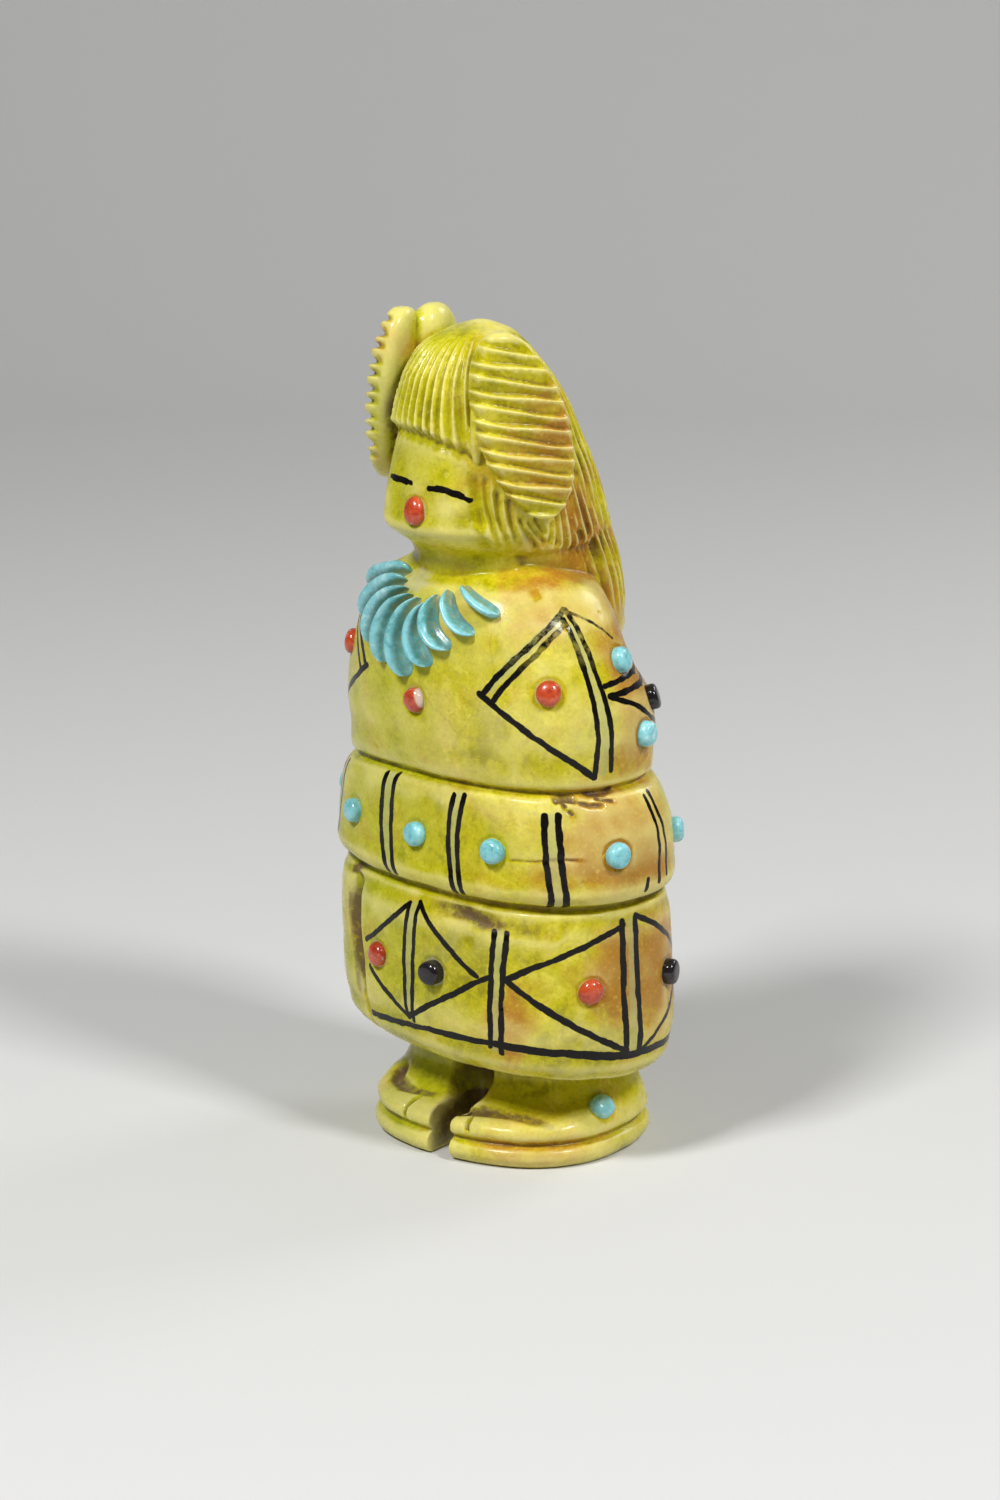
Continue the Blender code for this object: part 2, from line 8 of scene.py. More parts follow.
# %% Load the fixed frame
import json
import bmesh
import bpy
import numpy as np
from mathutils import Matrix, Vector

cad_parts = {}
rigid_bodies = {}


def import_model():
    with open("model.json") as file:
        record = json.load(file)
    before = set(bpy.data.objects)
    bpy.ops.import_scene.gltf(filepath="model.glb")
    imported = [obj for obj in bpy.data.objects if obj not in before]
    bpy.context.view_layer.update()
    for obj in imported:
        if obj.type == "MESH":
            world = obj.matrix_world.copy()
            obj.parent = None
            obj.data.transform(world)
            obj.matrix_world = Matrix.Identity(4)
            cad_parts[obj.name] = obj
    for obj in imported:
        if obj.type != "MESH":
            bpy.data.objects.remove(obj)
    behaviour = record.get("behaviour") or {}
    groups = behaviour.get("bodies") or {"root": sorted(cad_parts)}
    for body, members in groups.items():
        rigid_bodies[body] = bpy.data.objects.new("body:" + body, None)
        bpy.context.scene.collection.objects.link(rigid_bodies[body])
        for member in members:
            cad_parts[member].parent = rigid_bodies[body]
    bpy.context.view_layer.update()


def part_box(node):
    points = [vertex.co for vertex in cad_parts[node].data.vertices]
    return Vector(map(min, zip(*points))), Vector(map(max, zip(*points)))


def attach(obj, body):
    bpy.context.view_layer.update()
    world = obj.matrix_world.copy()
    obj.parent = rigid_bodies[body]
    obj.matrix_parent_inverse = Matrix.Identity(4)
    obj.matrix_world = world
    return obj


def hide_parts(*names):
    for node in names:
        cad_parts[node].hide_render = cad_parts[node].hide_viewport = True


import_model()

MM = 0.001

# %% [markdown]
# ## Measuring tape and files
# A carver turns the stone and takes the same few cuts again and again. The helpers here are those cuts: a
# smooth flow through measured stations, a soft step, a rounded groove, a row of ribs or scoops, and a gentle
# lumpiness that keeps any surface from looking machined.

# %% Smooth flow, steps and grooves


def flow(heights, stations, column):
    """Cubic curve through the stations: at each one it has the mean slope of its neighbours."""
    z = stations[:, 0]
    value = stations[:, column]
    slope = np.gradient(value, z)
    h = np.clip(heights, z[0], z[-1])
    i = np.clip(np.searchsorted(z, h, side="right") - 1, 0, len(z) - 2)
    span = z[i + 1] - z[i]
    t = (h - z[i]) / span
    return (
        value[i] * (2 * t**3 - 3 * t**2 + 1)
        + value[i + 1] * (3 * t**2 - 2 * t**3)
        + span * slope[i] * (t**3 - 2 * t**2 + t)
        + span * slope[i + 1] * (t**3 - t**2)
    )


def smooth_step(edge_low, edge_high, value):
    """0 below the low edge, 1 above the high edge, and 3t^2 - 2t^3 between them."""
    t = np.clip((value - edge_low) / (edge_high - edge_low), 0.0, 1.0)
    return t * t * (3 - 2 * t)


def bump(distance, width):
    """A bell curve: 1 at distance 0, almost nothing one width away."""
    return np.exp(-((distance / (0.55 * width)) ** 2))


def round_ribs(phase):
    """0 on round ribs and 1 in the sharp valleys between them: one minus the size of a sine."""
    return 1.0 - np.abs(np.sin(np.pi * phase))


def scoops(phase):
    """1 in round scoops and 0 on the sharp ridges left between them: the size of a sine."""
    return np.abs(np.sin(np.pi * phase))


def hooks(phase):
    """A saw edge: 0 at the sharp upper edge of each rib, sloping to 1 in the valley, then a quick step out."""
    part = phase % 1.0
    return part**0.85 * (1 - smooth_step(0.84, 1.0, part))


def lumps(points, size, seed):
    """Hand-worked unevenness from -1 to 1: the mean of seven sine waves, each about one size long."""
    random = np.random.default_rng(seed)
    total = np.zeros(points.shape[:-1])
    for _ in range(7):
        direction = random.normal(size=3)
        direction *= 2 * np.pi / size * random.uniform(0.7, 1.4) / np.linalg.norm(direction)
        total += np.sin(points @ direction + random.uniform(0, 2 * np.pi))
    return total / 7


print("flow at mid height of a 0-1-0 profile:", flow(np.array([1.0]), np.array([[0, 0], [1, 1], [2, 0.0]]), 1))

# %% Rings and their skin


def ring_point(angles, heights, stations, squareness, relief):
    """Rounded level rings. x is the half width times the sine of the angle, y the half depth times its cosine,
    each to the power 2 / squareness. Angles are in degrees from the front towards the figure's left."""
    turn = np.radians(angles)
    side = np.sin(turn)
    front = np.cos(turn)
    across = np.sign(side) * np.abs(side) ** (2 / squareness)
    along = np.sign(front) * np.abs(front) ** (2 / squareness)
    x = flow(heights, stations, 1) * across + relief * side
    y = flow(heights, stations, 3) - flow(heights, stations, 2) * along - relief * front
    return np.stack([x, y, heights], axis=-1)


def skin_of_rings(rings, cap=0.0):
    """Points and faces over a stack of closed rings: quads between neighbours and a fan over each end.
    The top fan's middle point is raised by cap."""
    rows, columns, _ = rings.shape
    index = np.arange(rows * columns).reshape(rows, columns)
    after = np.roll(index, -1, axis=1)
    quads = np.stack([index[:-1], after[:-1], after[1:], index[1:]], axis=-1).reshape(-1, 4)
    foot = np.stack([np.full(columns, rows * columns), after[0], index[0]], axis=-1)
    crown = np.stack([np.full(columns, rows * columns + 1), index[-1], after[-1]], axis=-1)
    middles = np.stack([rings[0].mean(axis=0), rings[-1].mean(axis=0) + [0, 0, cap]])
    return np.concatenate([rings.reshape(-1, 3), middles]), quads.tolist() + foot.tolist() + crown.tolist()


def stock(name, points, faces, scale=1.0):
    """A mesh object from points and faces, with every face turned outwards."""
    mesh = bpy.data.meshes.new(name)
    mesh.from_pydata((points * scale).tolist(), [], faces)
    shape = bmesh.new()
    shape.from_mesh(mesh)
    bmesh.ops.recalc_face_normals(shape, faces=shape.faces[:])
    shape.to_mesh(mesh)
    shape.free()
    return bpy.data.objects.new(name, mesh)


def into_scene(thing):
    """Links an object into the scene, and gives it back."""
    bpy.context.scene.collection.objects.link(thing)
    return thing


PLAIN_RINGS = np.array([[0, 5, 3, 0], [1, 5, 3, 0.0]])
test_grid = np.meshgrid(np.arange(0, 360, 30.0), [0.0, 1.0])
test_points, test_faces = skin_of_rings(ring_point(*test_grid, PLAIN_RINGS, 2, 0.0))
print("a plain test ring has", len(test_points), "points and", len(test_faces), "faces")

# %% [markdown]
# ## The wrapped body
# On the real piece the blanket is one smooth mass, parted by two grooves into shoulders, a fat roll over the
# folded arms, and a skirt. The carver undercut the roll so that it overhangs, cut a step down the right front
# where the blanket's edge wraps over, and left the hem a little uneven. A stack of rings gives the mass, and
# each cut is relief added square to it, so the groove can be narrow and deep where the solids only hint at it.

# %% The body's stations and its cuts
# Height, half width, half depth, how far back the ring's middle lies.
BODY = np.array(
    [
        (9.8, 13.0, 8.6, 0.9), (10.4, 16.8, 11.2, 1.0), (11.4, 18.4, 12.7, 1.1), (13.6, 19.3, 13.5, 1.1),
        (20.6, 19.6, 13.6, 1.0), (26.6, 19.6, 13.3, 0.8), (29.6, 20.1, 12.9, 0.6), (32.6, 20.6, 12.9, 0.6),
        (36.6, 20.4, 12.6, 0.6), (40.6, 18.9, 12.2, 0.3), (43.1, 18.2, 12.0, 0.1), (46.6, 18.4, 12.2, 0.0),
        (49.6, 18.1, 11.9, -0.3), (52.6, 17.0, 10.9, -1.1), (56.1, 15.6, 10.1, -1.5), (59.1, 13.9, 9.5, -1.5),
        (61.1, 11.8, 8.8, -1.3), (62.6, 9.2, 7.5, -1.1), (64.0, 7.6, 6.4, -1.0),
    ]
)
BODY_SQUARENESS = 2.25
# Heights of the groove under the roll, of the groove above it, and of the top of the wrapped edge.
ROLL_BOTTOM, ROLL_TOP, WRAP_TOP = 29.4, 41.4, 28.4
# The unevenness of the hem fades out between these heights.
HEM_HEIGHTS = (12.6, 20.6)


def roll_top(angles):
    """Height of the upper groove, which dips on the figure's right front."""
    return ROLL_TOP - 1.2 * np.exp(-(((angles + 65.0) / 35.0) ** 2))


def wrap_edge(heights):
    """Degrees round to the wrapped blanket's edge, on the figure's right front. It leans out at the top."""
    return -22.0 - 6.0 * smooth_step(15.0, 24.0, heights)


def wrapped_body(angles, heights):
    """Body rings with relief: each groove is a narrow bell curve cut into a wide shallow one, the roll swells
    by a third bell just above its lower groove, and past the wrapped edge a groove parts the layer beneath.
    The hem sinks towards the back and the figure's left, and waves a little."""
    to_top = heights - roll_top(angles)
    to_bottom = heights - ROLL_BOTTOM
    relief = -1.0 * bump(to_top, 0.75) - 0.45 * bump(to_top, 2.4)
    relief = relief - 1.1 * bump(to_bottom, 0.8) - 0.45 * bump(to_bottom + 1.0, 2.6)
    relief = relief + 0.3 * bump(to_bottom - 1.7, 2.0)
    below = 1.0 - smooth_step(WRAP_TOP - 0.8, WRAP_TOP, heights)
    wide = smooth_step(14.0, 25.0, heights)
    past = wrap_edge(heights) - angles
    under = smooth_step(2.0, 8.0, past) * (1 - smooth_step(30.0, 50.0, past))
    groove = (0.6 + 0.7 * wide) * bump(past - 1.6 - wide, 2.4 + 2.0 * wide)
    relief = relief + below * (0.35 * wide * under - groove)
    points = ring_point(angles, heights, BODY, BODY_SQUARENESS, relief)
    drop = 0.06 * points[..., 1] + 0.03 * points[..., 0]
    hem = 1 - smooth_step(*HEM_HEIGHTS, heights)
    points[..., 2] -= drop * hem
    points[..., 2] += 0.16 * hem * lumps(points * [1, 1, 0], 7.0, 3)
    return points


# The share of the rings, and of the points round each ring, that is taken; a smaller share keeps the same
# forms.
FINENESS = 1.0


def ring_grid(around, low, high, levels, start=-180.0):
    """Angles and heights of a stack of rings: even places round each ring, and even levels from low to high."""
    angles = np.linspace(start, start + 360, int(around * FINENESS), endpoint=False)
    return np.meshgrid(angles, np.linspace(low, high, int(levels * FINENESS)))


body_stock = stock("body stock", *skin_of_rings(wrapped_body(*ring_grid(480, 9.8, 64.0, 360))))
print("body stock:", len(body_stock.data.polygons), "faces")

# %% [markdown]
# ## Head, fringe and back hair
# The head is a dome that runs straight into the hair. The fringe stands a millimetre proud of the face and is
# worked with long round scoops that fan from the crown. Behind the ears the hair falls in narrow locks.
# The same ring surface carries all of it, because each cut follows the head's own angles and heights.

# %% The head's stations and hair
# The columns are those of the body.
HEAD = np.array(
    [
        (52.2, 8.6, 8.8, 1.2), (53.6, 9.9, 10.8, 2.4), (56.6, 10.2, 11.5, 2.8), (59.6, 10.0, 11.5, 2.8),
        (62.1, 9.6, 11.4, 2.5), (63.8, 9.3, 11.2, 2.2), (65.0, 9.4, 11.3, 1.6), (66.0, 9.7, 11.9, 0.7),
        (67.2, 9.9, 12.4, -0.2), (69.0, 9.8, 12.1, -0.5), (71.6, 9.6, 11.4, -0.9), (75.6, 8.7, 10.1, -1.5),
        (80.6, 7.5, 8.2, -2.3), (83.6, 6.3, 6.4, -2.9), (85.8, 4.7, 4.5, -3.0), (87.1, 2.9, 2.7, -2.8),
        (87.7, 1.0, 0.9, -2.6),
    ]
)
HEAD_SQUARENESS = 2.1
CROWN = 87.6
# The fringe's lower edge at the middle of the forehead, and how far round it reaches to each side.
FRINGE_EDGE, FRINGE_HALF_ANGLE = 77.75, 44.0
# The long back hair starts this far round, in locks this wide, in degrees.
BACK_HAIR, BACK_LOCK = 98.0, 8.2
# The flutes of the fringe are narrow in the middle and wide at the temples: degrees round, flutes counted.
FLUTES = np.array([(0, 0), (6.5, 1), (13, 2), (20.5, 3), (29, 4), (37.5, 5), (46, 6), (180, 18)], float)


def head_surface(angles, heights):
    """Head rings with relief: the fringe stands out above its edge and is hollowed by scoops, the cheeks
    swell by a bell curve, round ribs part the locks down the back, and the side hair ends in a step."""
    away = np.abs(angles)
    sweep = angles + 2.0 * np.sin((heights - 78.0) * 0.35)
    flute = scoops(flow(np.abs(sweep), FLUTES, 1))
    edge = FRINGE_EDGE - 2.0 * (np.clip(angles, 0, 60) / FRINGE_HALF_ANGLE) ** 1.2
    edge = edge - 0.8 * smooth_step(30, 46, -angles)
    edge = edge + 0.3 * flute
    above_edge = smooth_step(edge - 0.85, edge + 0.3, heights)
    in_fringe = 1.0 - smooth_step(FRINGE_HALF_ANGLE - 1, FRINGE_HALF_ANGLE + 4, away)
    near_crown = smooth_step(CROWN - 2.0, CROWN - 0.1, heights)
    depth = (0.52 + 0.33 * away / FRINGE_HALF_ANGLE) * (1 + 0.2 * np.sin(np.radians(angles * 7 + 40)))
    relief = above_edge * in_fringe * (1.1 - depth * flute) * (1 - near_crown)
    relief = relief - 0.3 * in_fringe * bump(heights - edge + 1.0, 1.0)
    relief = relief + 0.5 * bump(away - 25.0, 18.0) * bump(heights - 69.4, 6.0)
    in_back = smooth_step(BACK_HAIR - 6, BACK_HAIR, away)
    locks = round_ribs((away - BACK_HAIR + 1.2 * np.sin(heights * 0.3)) / BACK_LOCK) ** 1.3
    lower = smooth_step(56.1, 60.1, heights)
    relief = relief - 0.5 * locks * in_back * lower * (1 - near_crown)
    on_side = smooth_step(50, 56, away) * (1 - smooth_step(104, 112, away))
    relief = relief - 0.5 * on_side * (1 - smooth_step(64.4, 65.2, heights))
    return ring_point(angles, heights, HEAD, HEAD_SQUARENESS, relief)


head_stock = stock("head stock", *skin_of_rings(head_surface(*ring_grid(480, 52.2, 87.7, 250)), 0.15))
print("head stock:", len(head_stock.data.polygons), "faces")

# %% [markdown]
# ## The two whorls of hair
# Each whorl is a thick upright disc at the side of the head, with a row of rounded ribs cut across its outer
# face and round its rim. On the figure's right the ribs show as a row of teeth along the rim, and a second,
# smooth lobe stands behind the first. A disc is an ellipse swept upwards, and each valley shrinks it.

# %% Ribbed discs, the smooth lobe, and a thin lock beside the fringe
WHORL_MIDDLE = (9.3, -5.9, 78.5)
WHORL_HALF_HEIGHT, WHORL_HALF_WIDTH, WHORL_HALF_THICK = 9.4, 5.1, 2.2
RIB_PITCH = 1.5
# The smooth lobe's middle above the whorl's own, and half its height.
LOBE_UP, LOBE_HALF_HEIGHT = 5.2, 4.2


def to_whorl_place(side, back, thick, up):
    """Turns a whorl's own back, thick and up into the carving's x, y and z. Side is 1 on the figure's left."""
    facing = np.radians(21.7)
    back = back - 0.2 * up
    thick = thick - 0.16 * up
    x = WHORL_MIDDLE[0] + back * np.sin(facing) + thick * np.cos(facing)
    y = WHORL_MIDDLE[1] + back * np.cos(facing) - thick * np.sin(facing)
    return np.stack([side * x, y, WHORL_MIDDLE[2] + up + 0.45 * (1 - side)], axis=-1)


def whorl_surface(side, turn, up):
    """Sections of a disc: half ellipses in turn, shrunk by the height's own half circle and by the ribs.
    On the figure's left the ribs fade into the back hair, and on the right they are deep hooked teeth."""
    reach = np.sqrt(np.clip(1 - (up / WHORL_HALF_HEIGHT) ** 2, 0, 1))
    back = WHORL_HALF_WIDTH * reach * np.sign(np.cos(turn)) * np.abs(np.cos(turn)) ** 0.8
    thick = WHORL_HALF_THICK * reach**0.6 * np.sign(np.sin(turn)) * np.abs(np.sin(turn)) ** 0.7
    valley = hooks((0.12 * np.sin(back * 0.9 + up * 2.1) - up - 0.17 * back) / RIB_PITCH)
    if side > 0:
        into_hair = smooth_step(0.75, 1.0, np.cos(turn))
        depth = 0.95 * smooth_step(-0.45, 0.15, np.sin(turn)) * (1 - 0.7 * into_hair)
    else:
        valley = valley**2.4 * smooth_step(-6.7, -5.9, up)
        depth = 1.9 * smooth_step(-0.1, 0.25, np.sin(turn)) * smooth_step(-1.0, 0.0, -np.cos(turn))
    shrink = depth * valley * smooth_step(0.2, 0.55, reach)
    return to_whorl_place(side, back - shrink * np.cos(turn), thick - shrink * np.sin(turn), up)


def lobe_surface(turn, up):
    """The smooth second lobe: an ellipsoid, leaned with the whorl that it stands behind."""
    reach = np.sqrt(np.clip(1 - ((up - LOBE_UP) / LOBE_HALF_HEIGHT) ** 2, 0, 1))
    wide = 3.9 * np.sign(np.cos(turn)) * np.abs(np.cos(turn)) ** 0.8
    return to_whorl_place(-1, 3.9 + reach * wide, -1.8 + 2.4 * reach * np.sin(turn), up)


def lock_surface(turn, share):
    """The thin lock between fringe and whorl: ellipses along a line that bows forward, widest at a third."""
    reach = np.sqrt(np.clip(np.sin(np.pi * np.clip(share, 0, 1) ** 0.8), 0, 1))
    x = 5.9 + 0.9 * np.sin(np.pi * share) + 0.85 * reach * np.cos(turn)
    y = -8.1 - 1.5 * np.sin(np.pi * share * 0.8) + 0.9 * reach * np.sin(turn)
    return np.stack([x, y, 74.0 + 12.0 * (1 - share)], axis=-1)


def swept_grid(step, reach, levels):
    """Turns in steps of some degrees, and heights up to a reach each way, which come closer at both ends."""
    ups = reach * np.sin(np.linspace(-1.5, 1.5, levels))
    return np.meshgrid(np.radians(np.arange(0, 360, step)), ups)


turns, ups = swept_grid(3 / FINENESS, 9.35, int(300 * FINENESS))
whorl_left = stock("whorl left stock", *skin_of_rings(whorl_surface(1, turns, ups)))
whorl_right = stock("whorl right stock", *skin_of_rings(whorl_surface(-1, turns, ups)))
turns, ups = swept_grid(5, 4.15, 60)
lobe = stock("lobe stock", *skin_of_rings(lobe_surface(turns, LOBE_UP + ups)))
turns, shares = np.meshgrid(np.radians(np.arange(0, 360, 10)), np.linspace(0.002, 0.998, 60))
lock = stock("lock stock", *skin_of_rings(lock_surface(turns, shares)))
ribs = int(2 * WHORL_HALF_HEIGHT / RIB_PITCH)
print("whorls:", len(whorl_left.data.polygons), "faces each, with", ribs, "ribs")

# %% [markdown]
# ## The feet
# The two feet are one block, parted in front by a slot between the toes and an egg-shaped hollow between the
# legs. A groove runs above the soles, and a crease crosses each foot above its toes. The block is rings again.
# Slot and hollow are cut with Booleans, because their walls turn back on themselves as no ring surface can.

# %% Foot block, slots and creases
# The columns are those of the body.
FEET = np.array(
    [
        (0.0, 13.9, 12.0, 1.4), (0.5, 14.4, 12.6, 1.4), (1.9, 14.5, 12.7, 1.4), (2.6, 14.0, 12.1, 1.4),
        (3.2, 14.4, 12.5, 1.4), (4.4, 14.3, 12.2, 1.5), (5.2, 13.9, 11.3, 2.1), (5.8, 13.5, 10.2, 2.8),
        (7.1, 13.0, 9.2, 3.3), (8.8, 12.6, 8.8, 3.3), (10.2, 13.0, 9.0, 2.8), (12.0, 14.2, 9.7, 1.6),
        (13.1, 13.4, 9.2, 1.4),
    ]
)
# The pair of feet is turned by these degrees and moved by these millimetres towards the figure's left.
FEET_TURN, FEET_SHIFT = 10.0, 0.7
FEET_SQUARENESS = 2.35
SLOT_MIDDLE, SLOT_WIDTH, SLOT_FRONT = -0.45, 2.8, -17.0
# The hollow between the legs: its middle, and its half sizes.
LEG_HOLLOW = np.array([(-0.25, -6.6, 8.0), (2.7, 4.6, 3.7)])


def turned_feet(points):
    """The points turned about the upright axis and moved sideways with the pair of feet."""
    turn = np.radians(FEET_TURN)
    x = points[..., 0] * np.cos(turn) - points[..., 1] * np.sin(turn) + FEET_SHIFT
    y = points[..., 0] * np.sin(turn) + points[..., 1] * np.cos(turn)
    return np.stack([x, y, points[..., 2]], axis=-1)


def feet_surface(angles, heights):
    """Foot rings with the crease above the toes and a fine groove above the soles."""
    away = np.abs((angles + 180.0) % 360.0 - 180.0)
    in_front = 1.0 - smooth_step(34.0, 62.0, away)
    relief = -0.5 * bump(heights - 5.75 + 0.012 * away, 0.9) * in_front
    relief = relief - 0.34 * bump(heights - 2.5, 0.6)
    return turned_feet(ring_point(angles, heights, FEET, FEET_SQUARENESS, relief))


def to_feet_place(points):
    """The opposite of turned_feet: points of the carving as seen from the middle of the pair of feet."""
    turn = np.radians(FEET_TURN)
    x, y = points[..., 0] - FEET_SHIFT, points[..., 1]
    across, back = x * np.cos(turn) + y * np.sin(turn), y * np.cos(turn) - x * np.sin(turn)
    return np.stack([across, back, points[..., 2]], axis=-1)


def slot_stock(name, width, back, low, high):
    """An upright slot: parallel walls in front, a half circle at its inner end, the same from low to high."""
    turn = np.radians(np.arange(0, 181, 10))
    half = 0.5 * width
    outline_x = SLOT_MIDDLE + np.concatenate([[half], half * np.cos(turn), [-half]])
    outline_y = np.concatenate([[SLOT_FRONT], back - half + half * np.sin(turn), [SLOT_FRONT]])
    rings = [np.stack([outline_x, outline_y, 0 * outline_x + z], axis=-1) for z in (low, high)]
    return stock(name, *skin_of_rings(turned_feet(np.array(rings))))


feet_grid = ring_grid(360, 0.0, 13.1, 110, start=0.0)
feet_stock = into_scene(stock("feet stock", *skin_of_rings(feet_surface(*feet_grid))))
turns, leans = np.meshgrid(np.radians(np.arange(0, 360, 6)), np.linspace(-1.5, 1.5, 40))
ball = np.stack([np.cos(leans) * np.cos(turns), np.cos(leans) * np.sin(turns), np.sin(leans)], axis=-1)
hollow_rings = turned_feet(LEG_HOLLOW[0] + ball * LEG_HOLLOW[1])
toe_slot = slot_stock("toe slot", SLOT_WIDTH, -2.6, -1.0, 5.9)
for cutter in (toe_slot, stock("leg slot", *skin_of_rings(hollow_rings))):
    parting = feet_stock.modifiers.new(cutter.name, "BOOLEAN")
    parting.operation, parting.solver, parting.object = "DIFFERENCE", "EXACT", into_scene(cutter)
print("feet stock:", len(feet_stock.data.polygons), "faces before the slots")

# %% [markdown]
# ## One stone
# The forms overlap. A voxel remesh reads them as one clay-like volume and lays a single even skin over
# it, with the small fillets that a polishing wheel leaves in every corner. Boolean unions would keep hard
# seams, so the remesh is the better tool here. A few rounds of smoothing then polish away the grid.

# %% Meshes in and out of numpy


def read_points(mesh):
    """The places of all points of a mesh, one row of x, y and z each."""
    values = np.empty(len(mesh.vertices) * 3, np.float32)
    mesh.vertices.foreach_get("co", values)
    return values.reshape(-1, 3).astype(np.float64)


def read_normals(mesh):
    """The direction straight out of the surface at each point, one row each."""
    values = np.empty(len(mesh.vertices) * 3, np.float32)
    mesh.vertex_normals.foreach_get("vector", values)
    return values.reshape(-1, 3).astype(np.float64)


def write_points(mesh, points):
    """Moves the points of a mesh to new places."""
    mesh.vertices.foreach_set("co", points.astype(np.float32).ravel())


def write_layer(mesh, name, values):
    """Keeps one number for each point under a name, so that a material can read it."""
    layer = mesh.attributes.new(name, "FLOAT", "POINT")
    layer.data.foreach_set("value", values.astype(np.float32))


def evaluated(thing):
    """The object's mesh after its modifiers, as a new mesh."""
    bpy.context.view_layer.update()
    graph = bpy.context.evaluated_depsgraph_get()
    return bpy.data.meshes.new_from_object(thing.evaluated_get(graph), depsgraph=graph)


def apply_modifiers(thing):
    """Makes the modifiers' work part of the object's own mesh, and takes them off."""
    mesh = evaluated(thing)
    thing.modifiers.clear()
    thing.data = mesh
    return mesh


def triangle_count(mesh):
    """How many triangles the mesh's faces make: two less than the corners of each."""
    return sum(len(face.vertices) - 2 for face in mesh.polygons)


feet_mesh = evaluated(feet_stock)
print("feet after the slots:", triangle_count(feet_mesh), "triangles")

# %% Fuse the forms
VOXEL = 0.155
fused = bmesh.new()
for form in (body_stock, head_stock, whorl_left, whorl_right, lobe, lock):
    fused.from_mesh(form.data)
fused.from_mesh(feet_mesh)
stone_mesh = bpy.data.meshes.new("carved_stone")
fused.to_mesh(stone_mesh)
fused.free()
for helper in [o for o in bpy.data.objects if o.name.endswith((" stock", " slot"))]:
    bpy.data.objects.remove(helper, do_unlink=True)
stone = into_scene(bpy.data.objects.new("carved_stone", stone_mesh))
remesh = stone.modifiers.new("one skin", "REMESH")
remesh.mode, remesh.voxel_size = "VOXEL", VOXEL
polish = stone.modifiers.new("polish", "SMOOTH")
polish.factor, polish.iterations = 0.5, 3
stone_mesh = apply_modifiers(stone)
print("one skin:", len(stone_mesh.vertices), "points")

# %% Soften the hollow between the legs
x, y, z = read_points(stone_mesh).T
by_legs = (z > 5.0) & (z < 12.0) & (y < 0) & (np.abs(x) < 8)
legs = stone.vertex_groups.new(name="legs")
legs.add(np.nonzero(by_legs)[0].tolist(), 1.0, "REPLACE")
soften = stone.modifiers.new("soften between the legs", "SMOOTH")
soften.factor, soften.iterations, soften.vertex_group = 0.5, 80, "legs"
stone_mesh = apply_modifiers(stone)
stone.vertex_groups.clear()
print("softened:", int(by_legs.sum()), "points")

# %% [markdown]
# ## Beads and where they sit
# Each bead stands square on the stone in a drilled socket. Its place is found on the carving's own surface:
# a point, the direction along it, up it, and straight out. The same frames serve twice, first to press a fine
# ring into the stone round every bead, and later to set the bead itself.

# %% Bead places
BODY_BEADS = (
    ("coral_chest", 0.0, 49.5), ("coral_shoulder_left", 57.0, 52.0), ("coral_shoulder_right", -57.0, 52.4),
    ("coral_back", 180.0, 48.1), ("turquoise_shoulder_left_upper", 104.0, 54.2),
    ("turquoise_shoulder_left_lower", 103.0, 46.5), ("turquoise_shoulder_right_upper", -104.0, 54.2),
    ("turquoise_shoulder_right_lower", -103.0, 46.5), ("jet_shoulder_left", 121.0, 49.4),
    ("jet_shoulder_right", -121.0, 49.4), ("coral_skirt_front", -15.0, 20.8), ("jet_skirt_front", 7.0, 21.0),
    ("coral_skirt_left", 68.0, 20.6), ("jet_skirt_left", 111.0, 20.4), ("coral_skirt_back", 158.0, 20.6),
    ("jet_skirt_back", -162.0, 20.6), ("coral_skirt_right", -118.0, 20.6), ("jet_skirt_right", -76.0, 20.6),
)
ROLL_BEAD_HEIGHT = 35.2
ROLL_BEAD_ANGLES = (0.0, 27.0, 77.0, 124.0, 180.0, -124.0, -77.0, -30.0)
BEAD_RADIUS = 1.35


def surface_frame(surface, angle, height):
    """Point on a surface, and the unit directions to the figure's left, up, and straight out of the stone.
    Left and up are differences between near places on the surface, and out is square to both."""

    def at(turned, raised):
        return surface(np.array(angle + turned), np.array(height + raised))

    here = at(0.0, 0.0)
    left = at(4.0, 0.0) - at(-4.0, 0.0)
    up = at(0.0, 0.6) - at(0.0, -0.6)
    out = np.cross(left, up)
    out /= np.linalg.norm(out)
    left /= np.linalg.norm(left)
    return here, left, np.cross(out, left), out


places = {name: surface_frame(wrapped_body, angle, height) for name, angle, height in BODY_BEADS}
for number, angle in enumerate(ROLL_BEAD_ANGLES):
    places[f"turquoise_roll_{number + 1}"] = surface_frame(wrapped_body, angle, ROLL_BEAD_HEIGHT)
places["coral_mouth"] = surface_frame(head_surface, 3.0, 69.4)
places["turquoise_ankle_left"] = surface_frame(feet_surface, 75.0, 5.5)
places["turquoise_ankle_right"] = surface_frame(feet_surface, -95.0, 5.5)
worst = max(
    float(np.linalg.norm(here - np.array(sum(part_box(name), Vector())) / 2 / MM))
    for name, (here, _, _, _) in places.items()
)
print(len(places), "beads; the furthest is", round(worst, 2), "mm from the middle of its solid")

# %% [markdown]
# ## Knife work
# With the forms fused, the last cuts go in with a point: the crease beside the cheek, the strokes of the side
# hair, the fan under each whorl, the gouge and the crack by the roll, a few chips, and a ring round each bead.
# A cut is a line of places given by angle and height. Every point of the stone near a line is pushed inwards
# by a bell curve of its distance from that line.

